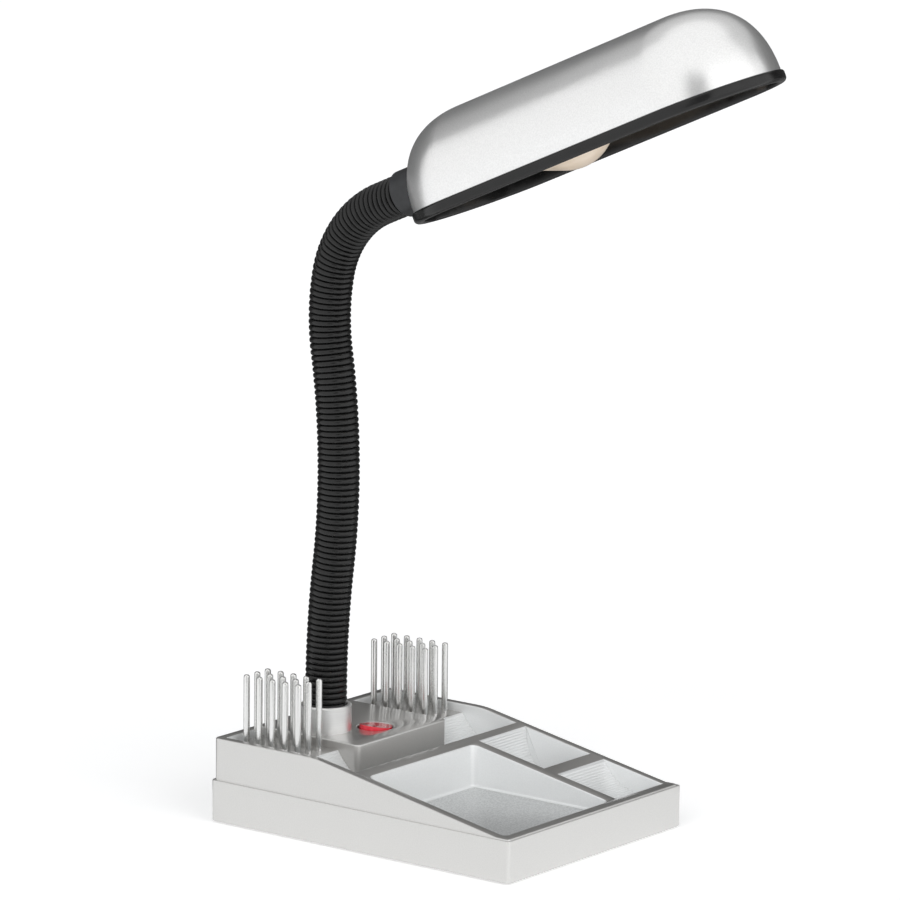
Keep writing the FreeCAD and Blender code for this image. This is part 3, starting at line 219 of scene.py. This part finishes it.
def silver_paint(name, color, roughness, metallic, coat, flake):
    """Silver paint: flakes in the colour, soft cloudiness in the gloss, a clear coat over it."""
    material, shader = new_material(name, color, metallic, roughness, Coat_Weight=coat,
                                    Coat_Roughness=0.08)
    dark = tuple((1 - flake) * part for part in color)
    bright = tuple((1 + flake) * part for part in color)
    tint(material, shader, noise(material, 1500, 3), dark, bright)
    vary_roughness(material, shader, noise(material, 25, 1), roughness - 0.01, roughness + 0.02)
    bump(material, shader, noise(material, 1500, 2), 0.001 * MM)
    return material


def spark_eroded(name):
    """Floor of the main tray: silver with a coarse moulded grain."""
    material, shader = new_material(name, (0.6, 0.61, 0.61), 0.5, 0.34)
    tint(material, shader, noise(material, 1100, 4), (0.5, 0.51, 0.51), (0.68, 0.69, 0.69),
         (0.38, 0.62))
    bump(material, shader, noise(material, 1100, 4), 0.012 * MM)
    return material


def plated_steel(name):
    """Bright plated rod with faint streaks along it."""
    material, shader = new_material(name, (0.78, 0.79, 0.8), 1, 0.2)
    streaks = noise(material, 900, 3, (1, 1, 0.05))
    tint(material, shader, streaks, (0.74, 0.74, 0.73), (0.84, 0.84, 0.83))
    vary_roughness(material, shader, streaks, 0.16, 0.26)
    return material


def turned_metal(name, color, roughness=0.3):
    """Turned metal with fine rings round it."""
    material, shader = new_material(name, color, 1, roughness)
    rings = noise(material, 1800, 2, (0.02, 0.02, 1))
    dark = tuple(0.96 * part for part in color)
    tint(material, shader, rings, dark, color)
    vary_roughness(material, shader, rings, roughness - 0.01, roughness + 0.03)
    bump(material, shader, rings, 0.0004 * MM)
    return material


def moulded_plastic(name, color, roughness, relief=0.006, specular=0.4):
    """Plain moulded plastic or rubber: a faint mottle in colour and gloss, and fine relief."""
    material, shader = new_material(name, color, 0, roughness, Specular_IOR_Level=specular)
    mottle = noise(material, 160, 3)
    dark = tuple(0.8 * part for part in color)
    bright = tuple(min(1, 1.15 * part) for part in color)
    tint(material, shader, mottle, dark, bright)
    vary_roughness(material, shader, mottle, roughness - 0.04, roughness + 0.06)
    bump(material, shader, noise(material, 1500, 2), relief * MM)
    return material


def glossy_plastic(name, color, roughness, coat):
    """Polished plastic with a clear coat and barely moving gloss."""
    material, shader = new_material(name, color, 0, roughness, Coat_Weight=coat,
                                    Coat_Roughness=0.06, Specular_IOR_Level=0.3)
    mottle = noise(material, 90, 2)
    tint(material, shader, mottle, tuple(0.88 * part for part in color), color)
    bump(material, shader, noise(material, 240, 1), 0.004 * MM)
    return material


def bulb_coating(name):
    """Soft white coated glass that glows faintly."""
    material, shader = new_material(name, (0.86, 0.75, 0.62), 0, 0.3, Coat_Weight=0.4,
                                    Emission_Color=(1, 0.72, 0.48, 1), Emission_Strength=0.16)
    tint(material, shader, noise(material, 60, 2), (0.84, 0.72, 0.58), (0.88, 0.78, 0.66))
    bump(material, shader, noise(material, 900, 2), 0.003 * MM)
    return material


def slot_materials():
    """One material for each slot of the record, and more copies of the housing's paint: a darker
    one that paints shade on the deck and a lighter one that paints light on the tray walls.
    """
    return {
        "housing_plastic": silver_paint("housing_silver", (0.64, 0.635, 0.62), 0.32, 0.55, 1,
                                        0.025),
        # The deck's copy of the paint is darker, as painted shade on the deck and the block's
        # faces.
        "shaded_deck": silver_paint("shaded_deck_silver", (0.44, 0.43, 0.415), 0.36, 0.6, 1, 0.02),
        # The tray walls' copy of the paint is lighter, as painted light on the walls.
        "lit_tray_wall": silver_paint("lit_tray_silver", (0.77, 0.78, 0.78), 0.34, 0.3, 0.5, 0.02),
        "pan_plastic": silver_paint("pan_silver", (0.66, 0.655, 0.64), 0.36, 0.5, 0.8, 0.025),
        "pin_steel": plated_steel("plated_steel"),
        "collar_metal": turned_metal("turned_collar", (0.96, 0.96, 0.95), 0.4),
        "sleeve_plastic": moulded_plastic("sleeve_black", (0.005, 0.005, 0.005), 0.26, 0.002,
                                          0.42),
        "core_steel": turned_metal("core_steel", (0.5, 0.5, 0.51), 0.4),
        "thread_steel": turned_metal("zinc_steel", (0.6, 0.6, 0.56), 0.35),
        "ballast_steel": turned_metal("black_steel", (0.12, 0.12, 0.13), 0.5),
        "rubber": moulded_plastic("rubber_black", (0.02, 0.02, 0.02), 0.75, 0.02),
        "black_plastic": moulded_plastic("black_satin", (0.03, 0.031, 0.033), 0.4),
        "rocker_plastic": glossy_plastic("rocker_red", (0.66, 0.025, 0.045), 0.2, 0.6),
        "brass": turned_metal("brass", (0.75, 0.55, 0.25), 0.3),
        "wire_insulation": moulded_plastic("wire_black", (0.03, 0.03, 0.03), 0.45),
        "shade_paint": silver_paint("shade_silver", (0.88, 0.88, 0.875), 0.29, 0.85, 0, 0.05),
        "rim_plastic": moulded_plastic("rim_black", (0.008, 0.008, 0.008), 0.2, 0.001, 0.4),
        "reflector_white": moulded_plastic("reflector_enamel", (0.85, 0.8, 0.72), 0.3),
        "holder_plastic": moulded_plastic("holder_dark", (0.02, 0.018, 0.016), 0.5, 0.006, 0.2),
        "cap_metal": turned_metal("cap_aluminium", (0.76, 0.75, 0.72), 0.35),
        "bulb_glass": bulb_coating("bulb_coating"),
    }


def dress_nodes(materials):
    """Gives every CAD node the material of its slot."""
    for part in frame["record"]["subparts"]:
        mesh = frame["nodes"][part["node"]].data
        mesh.materials.clear()
        mesh.materials.append(materials[part["material_slot"]])


# Mesh helpers


def add_piece(name, mesh, material, body, slot, *nodes):
    """Links a mesh as a piece that stands for CAD nodes, and rides on a body if one is given."""
    piece = bpy.data.objects.new(name, mesh)
    bpy.context.scene.collection.objects.link(piece)
    mesh.materials.append(material)
    if body:
        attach(piece, body)
    if nodes:
        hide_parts(*nodes)
    return piece


def finish_mesh(name, shape, sharp=SHARP_TURN):
    """A mesh from a bmesh, smooth but for edges that turn by more than an angle."""
    bmesh.ops.recalc_face_normals(shape, faces=shape.faces)
    for face in shape.faces:
        face.smooth = True
    for edge in shape.edges:
        edge.smooth = not edge.is_manifold or edge.calc_face_angle() < math.radians(sharp)
    mesh = bpy.data.meshes.new(name)
    shape.to_mesh(mesh)
    shape.free()
    return mesh


def bridge_rings(shape, rings, closed):
    """Faces between one ring of vertices and the next, and if closed from the last to the first."""
    pairs = list(zip(rings, rings[1:]))
    if closed:
        pairs.append((rings[-1], rings[0]))
    for first, second in pairs:
        count = len(first)
        for index in range(count):
            following = (index + 1) % count
            shape.faces.new((first[index], first[following], second[following], second[index]))


# Base


def rounded_copy(node, wanted, radius):
    """The node's shape with its flat faces joined and the wanted edges rounded."""
    shape = bmesh.new()
    shape.from_mesh(frame["nodes"][node].data)
    bmesh.ops.remove_doubles(shape, verts=shape.verts, dist=MERGE_DISTANCE)
    bmesh.ops.dissolve_limit(shape, angle_limit=math.radians(FLAT_TURN), verts=shape.verts,
                             edges=shape.edges)
    edges = [edge for edge in shape.edges if outer_corner(edge) and wanted(edge)]
    bmesh.ops.bevel(shape, geom=edges, offset=radius, offset_type="OFFSET", segments=3,
                    profile=0.5, affect="EDGES", clamp_overlap=False)
    return shape


def outer_corner(edge):
    """An edge that stands out, with more than a gentle turn."""
    turn = math.radians(CORNER_TURN)
    return edge.is_manifold and edge.is_convex and edge.calc_face_angle() > turn


def lowest(edge):
    """Height of an edge's lower end."""
    return min(vertex.co.z for vertex in edge.verts)


def on_top(edge):
    """An edge of an upward face above the seam."""
    upward = any(face.normal.z > 0.25 for face in edge.link_faces)
    return upward and lowest(edge) > SEAM_Z + 0.3 * MM


def on_pan_rim(edge):
    """An edge of the pan's top face."""
    upward = any(face.normal.z > 0.9 for face in edge.link_faces)
    return upward and abs(lowest(edge) - SEAM_Z) < 0.05 * MM


def housing_finish(face):
    """Index of a face's material, from where the face is and which way it looks; the deck's level
    faces and the block's upright faces take the paint darkened as painted shade, the tray walls the
    paint lightened as painted light.
    """
    middle = face.calc_center_median()
    if face.normal.z > 0.99 and abs(middle.z - MAIN_TRAY_FLOOR_Z) < 0.1 * MM:
        return TRAY_GRAIN
    level = face.normal.z > 0.97
    upright = abs(face.normal.z) < 0.1
    on_block = middle.y > BLOCK_FRONT_Y and abs(middle.x) < BLOCK_HALF + MM
    # Level faces above the seam and the block's upright faces: paint darkened as painted shade.
    if middle.z > SEAM_Z and (level or on_block and upright):
        return SHADED_DECK
    # Tray walls: paint lightened as painted light.
    inside = abs(middle.x) < WALL_REACH[0] and abs(middle.y) < WALL_REACH[1]
    return LIT_TRAY_WALL if inside and not on_block and middle.z > TRAY_BOTTOM_Z else OUTSIDE


def make_upper_housing(materials):
    """The upper housing with rounded rims, and a material for each of its kinds of face, with
    painted shade on the deck and painted light on the tray walls.
    """
    shape = rounded_copy("top_housing", on_top, EDGE_RADIUS)
    for face in shape.faces:
        face.material_index = housing_finish(face)
    piece = add_piece("upper_housing", finish_mesh("upper_housing", shape),
                      materials["housing_plastic"], "base", "housing_plastic", "top_housing")
    for material in (spark_eroded("tray_grain"), materials["shaded_deck"], materials["lit_tray_wall"]):
        piece.data.materials.append(material)


def make_lower_pan(materials):
    """The lower pan with a rounded rim."""
    shape = rounded_copy("base_pan", on_pan_rim, PAN_EDGE_RADIUS)
    add_piece("lower_pan", finish_mesh("lower_pan", shape), materials["pan_plastic"],
              "base", "pan_plastic", "base_pan")


def under_slope(y):
    """Height just under the sloping deck over a place along the base."""
    share = (y - SLOPE_FOOT[0]) / (SLOPE_TOP[0] - SLOPE_FOOT[0])
    return SLOPE_FOOT[1] + share * (SLOPE_TOP[1] - SLOPE_FOOT[1]) - SCOOP_EDGE_DROP


def unlimited(y):
    """A top that no arc reaches."""
    return 1


def scoop_angles(arc, reach, top):
    """Angles from straight down, towards the back, over which an arc lies under a top."""
    centre_y, centre_z, radius = arc
    start = math.asin(max(-1, (reach[0] - centre_y) / radius))
    end = math.asin(min(1, (reach[1] - centre_y) / radius))
    angles = [start + (end - start) * step / ARC_STEPS for step in range(ARC_STEPS + 1)]
    inside = [angle for angle in angles
              if centre_z - radius * math.cos(angle) < top(centre_y + radius * math.sin(angle))]
    return inside[0], inside[-1]


def make_ribbed_scoop(name, arc, angles, across, materials):
    """Thin skin on a scooped surface with ribs across it, sunk a little into the surface."""
    centre_y, centre_z, radius = arc
    start, end = angles
    count = int((end - start) * radius / SCOOP_RIB_PITCH) * SCOOP_RIB_STEPS
    inner = []
    outer = []
    for index in range(count + 1):
        angle = start + (end - start) * index / count
        wave = abs(math.sin(math.pi * index / SCOOP_RIB_STEPS))
        back, down = math.sin(angle), math.cos(angle)
        for line, distance in ((inner, radius - SCOOP_RIB_HEIGHT * wave),
                               (outer, radius + SCOOP_SKIN)):
            line.append((centre_y + distance * back, centre_z - distance * down))
    loop = inner + outer[::-1]
    shape = bmesh.new()
    rings = [[shape.verts.new((x, y, z)) for y, z in loop] for x in across]
    bridge_rings(shape, rings, False)
    for ring in rings:
        for index in range(count):
            shape.faces.new((ring[index], ring[index + 1], ring[-2 - index], ring[-1 - index]))
    # The skin takes the tray walls' paint, lightened as painted light.
    add_piece(name, finish_mesh(name, shape, SCOOP_SHARP), materials["lit_tray_wall"], "base",
              "housing_plastic")


def make_scoop_ribs(materials):
    """The ribbed skins of the two small trays and of the two ramps under the pins."""
    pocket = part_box("base_pan")[1].x - SIDE_RIM
    clear = SCOOP_CLEARANCE
    trays = (pocket - SCOOP_WIDTH + clear, pocket - clear)
    for name, arc, reach in (("clip_tray_ribs", CLIP_ARC, CLIP_REACH),
                             ("coin_tray_ribs", COIN_ARC, COIN_REACH)):
        make_ribbed_scoop(name, arc, scoop_angles(arc, reach, under_slope), trays, materials)
    ramp_reach = (RAMP_REACH[0] + clear, RAMP_REACH[1] - 4 * clear)
    angles = scoop_angles(RAMP_ARC, ramp_reach, unlimited)
    for name, across in (("right_ramp_ribs", (BLOCK_HALF + clear, pocket - clear)),
                         ("left_ramp_ribs", (clear - pocket, -BLOCK_HALF - clear))):
        make_ribbed_scoop(name, RAMP_ARC, angles, across, materials)


def make_domed_pins(node, materials):
    """The fifteen pins of a group with domed tips, standing where the CAD pins stand."""
    low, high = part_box(node)
    pitch_x = (high.x - low.x - 2 * PIN_RADIUS) / (PIN_COLUMNS - 1)
    pitch_y = (high.y - low.y - 2 * PIN_RADIUS) / (PIN_ROWS - 1)
    profile = [(PIN_RADIUS, low.z), (PIN_RADIUS, high.z - PIN_DOME)]
    for turn in PIN_DOME_TURNS:
        angle = math.radians(turn)
        profile.append((PIN_RADIUS * math.cos(angle), high.z - PIN_DOME * (1 - math.sin(angle))))
    angles = [math.tau * side / PIN_SIDES for side in range(PIN_SIDES)]
    shape = bmesh.new()
    for column in range(PIN_COLUMNS):
        for row in range(PIN_ROWS):
            x = low.x + PIN_RADIUS + column * pitch_x
            y = low.y + PIN_RADIUS + row * pitch_y
            rings = [[shape.verts.new((x + radius * math.cos(angle), y + radius * math.sin(angle),
                                       z)) for angle in angles] for radius, z in profile]
            bridge_rings(shape, rings, False)
            shape.faces.new(rings[0][::-1])
            shape.faces.new(rings[-1])
    name = node + "_domed"
    add_piece(name, finish_mesh(name, shape, PIN_SHARP), materials["pin_steel"], "base",
              "pin_steel", node)


# Neck


def neck_start():
    """Foot of the neck's centreline: the middle of the collar's underside."""
    low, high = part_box("neck_collar")
    return Vector(((low.x + high.x) / 2, (low.y + high.y) / 2, low.z)) / MM


def neck_station(distance):
    """Point of the centreline in millimetres at a distance from the deck, and its lean."""
    point = neck_start()
    lean = 0.0
    for length, turn in NECK_STRETCHES:
        step = min(distance, length)
        turned_by = math.radians(turn) * step / length
        if turned_by:
            radius = step / turned_by
            point.y -= radius * (math.cos(lean) - math.cos(lean + turned_by))
            point.z += radius * (math.sin(lean + turned_by) - math.sin(lean))
        else:
            point.y -= step * math.sin(lean)
            point.z += step * math.cos(lean)
        lean += turned_by
        distance -= step
        if distance <= 0:
            break
    return point, lean


def neck_ring(shape, distance, radius):
    """Ring of vertices square to the centreline."""
    point, lean = neck_station(distance)
    back = Vector((0, math.cos(lean), math.sin(lean)))
    ring = []
    for index in range(RING_POINTS):
        angle = math.tau * index / RING_POINTS
        place = point + radius * (math.cos(angle) * Vector((1, 0, 0)) + math.sin(angle) * back)
        ring.append(shape.verts.new(place * MM))
    return ring


def rib_pitch():
    """Distance from one rib to the next along the centreline."""
    return (SLEEVE_END - SLEEVE_START) / RIB_COUNT


def rib_radius(share):
    """Radius of the sleeve at a share of one rib: a round bead between sharp grooves."""
    off_crest = abs(2 * share - 1)
    return SLEEVE_RADIUS - RIB_DEPTH * (1 - math.sqrt(1 - off_crest ** 2))


def make_sleeve_piece(name, first, last, materials):
    """The sleeve from one rib to another, ribbed outside, with a plain bore."""
    pitch = rib_pitch()
    shape = bmesh.new()
    rings = []
    for step in range(first * RIB_STEPS, last * RIB_STEPS + 1):
        distance = SLEEVE_START + pitch * step / RIB_STEPS
        rings.append(neck_ring(shape, distance, rib_radius(step % RIB_STEPS / RIB_STEPS)))
    for rib in range(last, first - 1, -1):
        rings.append(neck_ring(shape, SLEEVE_START + pitch * rib, SLEEVE_BORE))
    bridge_rings(shape, rings, True)
    return add_piece(name, finish_mesh(name, shape, SLEEVE_SHARP), materials["sleeve_plastic"],
                     None, "sleeve_plastic", "neck_sleeve")


def make_neck_sleeve(materials):
    """Six lengths of sleeve, split halfway between the hinges so that each holds one hinge."""
    middles = [(low + high) / 2 for low, high in zip(HINGES, HINGES[1:])]
    splits = [round((middle - SLEEVE_START) / rib_pitch()) for middle in middles]
    splits = [0] + splits + [RIB_COUNT]
    for index, hinge in enumerate(HINGES):
        piece = make_sleeve_piece(f"neck_sleeve_{index + 1}", splits[index], splits[index + 1],
                                  materials)
        start = neck_station(hinge - BEND_REACH)[0] * MM
        end = neck_station(hinge + BEND_REACH)[0] * MM
        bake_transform(piece)


# Shade rim


def quarter(inset, height, radius, start, steps=6):
    """Points of a quarter circle that is run clockwise from an angle in degrees."""
    angles = [math.radians(start - 90 * step / steps) for step in range(steps + 1)]
    return [(inset + radius * math.cos(angle), height + radius * math.sin(angle))
            for angle in angles]


def rim_profile():
    """Section of the shade's rim: a round bead with an upstand that enters the shade."""
    crown = RIM_TOP + UPSTAND_HEIGHT
    return (quarter(RIM_LOWER_ROUND, RIM_LOWER_ROUND, RIM_LOWER_ROUND, 270)
            + quarter(RIM_UPPER_ROUND, RIM_TOP - RIM_UPPER_ROUND, RIM_UPPER_ROUND, 180)
            + [(UPSTAND_INSET, RIM_TOP)]
            + quarter(UPSTAND_INSET + UPSTAND_ROUND, crown - UPSTAND_ROUND, UPSTAND_ROUND, 180, 3)
            + quarter(OPENING_INSET - UPSTAND_ROUND, crown - UPSTAND_ROUND, UPSTAND_ROUND, 90, 3)
            + quarter(OPENING_INSET - RIM_INNER_ROUND, RIM_INNER_ROUND, RIM_INNER_ROUND, 0))


def rim_lie():
    """How the rim's node lies: its directions across, along and up, and its reach along each.
    Up is the way its level faces look, and along is the way of its longest corner."""
    node = frame["nodes"]["shade_rim"]
    shape = bmesh.new()
    shape.from_mesh(node.data)
    shape.transform(node.matrix_world)
    bmesh.ops.remove_doubles(shape, verts=shape.verts, dist=MERGE_DISTANCE)
    up = Vector()
    for face in shape.faces:
        if face.normal.z > 0.85:
            up += face.calc_area() * face.normal
    up.normalize()
    turn = math.radians(SQUARE_TURN)
    corners = [edge for edge in shape.edges if edge.is_manifold and edge.calc_face_angle() > turn]
    longest = max(corners, key=bmesh.types.BMEdge.calc_length)
    along = (longest.verts[1].co - longest.verts[0].co).normalized()
    axes = (along.cross(up), along, up)
    spans = []
    for axis in axes:
        reach = [vertex.co.dot(axis) for vertex in shape.verts]
        spans.append((min(reach), max(reach)))
    shape.free()
    return axes, spans


def make_rounded_rim(materials):
    """The shade's black rim as a round bead, run round the outline that its node has."""
    (across, along, up), (width, length, height) = rim_lie()
    half_width = (width[1] - width[0]) / 2
    straight = (length[1] - length[0]) / 2 - half_width
    middle = (width[0] + half_width) * across + (sum(length) / 2) * along + height[0] * up
    rings = []
    shape = bmesh.new()
    for end in (1, -1):
        for step in range(RIM_END_STEPS + 1):
            angle = math.pi * step / RIM_END_STEPS
            outward = end * (math.cos(angle) * across + math.sin(angle) * along)
            root = middle + end * straight * along
            rings.append([shape.verts.new(root + (half_width - inset * MM) * outward + z * MM * up)
                          for inset, z in rim_profile()])
    bridge_rings(shape, rings, True)
    add_piece("rounded_rim", finish_mesh("rounded_rim", shape), materials["rim_plastic"],
              "head", "rim_plastic", "shade_rim")


# Stage


def shows_to_rays(tree, output, plain, shown):
    """Mixes two shaders: one that lights, and one that camera, glossy and clear rays see."""
    path = tree.nodes.new("ShaderNodeLightPath")
    seen = path.outputs["Is Camera Ray"]
    for ray in ("Is Glossy Ray", "Is Transmission Ray"):
        either = tree.nodes.new("ShaderNodeMath")
        either.operation = "MAXIMUM"
        tree.links.new(seen, either.inputs[0])
        tree.links.new(path.outputs[ray], either.inputs[1])
        seen = either.outputs["Value"]
    mix = tree.nodes.new("ShaderNodeMixShader")
    tree.links.new(seen, mix.inputs["Fac"])
    tree.links.new(plain, mix.inputs[1])
    tree.links.new(shown, mix.inputs[2])
    tree.links.new(mix.outputs["Shader"], output)


def make_world():
    """White to the camera and to reflections, and a softer even light on the lamp."""
    world = bpy.data.worlds.new("studio")
    bpy.context.scene.world = world
    world.use_nodes = True
    tree = world.node_tree
    light = tree.nodes["Background"]
    light.inputs["Color"].default_value = SKY_COLOR
    light.inputs["Strength"].default_value = SKY_STRENGTH
    white = tree.nodes.new("ShaderNodeBackground")
    white.inputs["Color"].default_value = (1, 1, 1, 1)
    white.inputs["Strength"].default_value = 1
    shows_to_rays(tree, tree.nodes["World Output"].inputs["Surface"], light.outputs[0],
                  white.outputs[0])


def make_floor():
    """Plain pale floor, bright enough to join the white behind it but for the lamp's shadow."""
    mesh = bpy.data.meshes.new("floor")
    signs = ((-1, -1), (1, -1), (1, 1), (-1, 1))
    corners = [(x * FLOOR_REACH, y * FLOOR_REACH, 0) for x, y in signs]
    mesh.from_pydata(corners, [], [(0, 1, 2, 3)])
    floor = bpy.data.objects.new("floor", mesh)
    bpy.context.scene.collection.objects.link(floor)
    material, shader = new_material("floor_pale", (0.8, 0.8, 0.8), 0, 0.9, Specular_IOR_Level=0)
    tint(material, shader, noise(material, 3, 2), (0.79, 0.79, 0.79), (0.81, 0.81, 0.81))
    tree = material.node_tree
    glow = tree.nodes.new("ShaderNodeEmission")
    glow.inputs["Strength"].default_value = FLOOR_GLOW
    brighter = tree.nodes.new("ShaderNodeAddShader")
    tree.links.new(shader.outputs["BSDF"], brighter.inputs[0])
    tree.links.new(glow.outputs["Emission"], brighter.inputs[1])
    shows_to_rays(tree, tree.nodes["Material Output"].inputs["Surface"], shader.outputs["BSDF"],
                  brighter.outputs["Shader"])
    mesh.materials.append(material)


def make_card(name, headings, near, far, brightness):
    """A card round the lamp between two headings, that only reflections see; near and far are
    each a distance from the lamp and a height."""
    shape = bmesh.new()
    columns = []
    for step in range(CARD_STEPS + 1):
        heading = math.radians(headings[0] + (headings[1] - headings[0]) * step / CARD_STEPS)
        x, y = math.cos(heading), math.sin(heading)
        columns.append([shape.verts.new((distance * x, distance * y, z))
                        for distance, z in (near, far)])
    for first, second in zip(columns, columns[1:]):
        shape.faces.new((first[0], second[0], second[1], first[1]))
    mesh = bpy.data.meshes.new(name)
    shape.to_mesh(mesh)
    shape.free()
    card = bpy.data.objects.new(name, mesh)
    bpy.context.scene.collection.objects.link(card)
    material, _ = new_material(name, (0, 0, 0), 0, 1, Specular_IOR_Level=0,
                               Emission_Color=(1, 1, 1, 1), Emission_Strength=brightness)
    mesh.materials.append(material)
    card.visible_camera = False
    card.visible_shadow = False
    card.visible_diffuse = False
    card.visible_transmission = False


def make_softbox(name, heading, strength):
    """Broad even light from a heading, left out of reflections."""
    light = bpy.data.lights.new(name, "SUN")
    light.angle = math.radians(SOFTBOX_SPREAD)
    light.energy = strength
    lamp = bpy.data.objects.new(name, light)
    lamp.rotation_euler = (0, math.radians(90 - SOFTBOX_HEIGHT), math.radians(heading))
    lamp.visible_glossy = False
    bpy.context.scene.collection.objects.link(lamp)


def make_camera():
    """The photograph's camera."""
    data = bpy.data.cameras.new("camera")
    data.lens = CAMERA_LENS
    data.sensor_width = CAMERA_SENSOR
    data.shift_x, data.shift_y = CAMERA_SHIFT
    camera = bpy.data.objects.new("camera", data)
    heading = Matrix.Rotation(math.radians(CAMERA_HEADING - 90), 4, "Z")
    pitch = Matrix.Rotation(math.radians(90 + CAMERA_PITCH), 4, "X")
    roll = Matrix.Rotation(math.radians(CAMERA_ROLL), 4, "Z")
    camera.matrix_world = Matrix.Translation(CAMERA_PLACE) @ heading @ pitch @ roll
    bpy.context.scene.collection.objects.link(camera)
    bpy.context.scene.camera = camera


def make_stage():
    """Floor, background, cards, light and camera."""
    bpy.context.scene.view_settings.view_transform = "Standard"
    make_world()
    make_floor()
    behind = (CAMERA_HEADING - 70, CAMERA_HEADING + 70)
    above = (CAMERA_HEADING - 88, CAMERA_HEADING + 70)
    camera_side = CAMERA_HEADING + 180
    make_card("dark_backdrop", behind, (2.2, 0.01), (2.2, 1.65), 0.07)
    make_card("dim_ceiling", above, (2.2, 1.65), (1.5, 2.7), 0.55)
    make_card("dark_table", behind, (0.16, 0.003), (2.2, 0.003), 0.2)
    make_card("dark_gap", (camera_side - 13, camera_side + 13), (2, 0.02), (2, 1.6), 0.25)
    make_card("bright_side", (camera_side + 15, camera_side + 85), (1.9, 0.2), (1.9, 1.9), 1.25)
    make_softbox("left_softbox", 198, 1.5)
    make_softbox("right_softbox", 258, 1.3)
    make_camera()


materials = slot_materials()
dress_nodes(materials)
make_upper_housing(materials)
make_lower_pan(materials)
make_scoop_ribs(materials)
make_domed_pins("left_pins", materials)
make_domed_pins("right_pins", materials)
make_neck_sleeve(materials)
make_rounded_rim(materials)
make_stage()
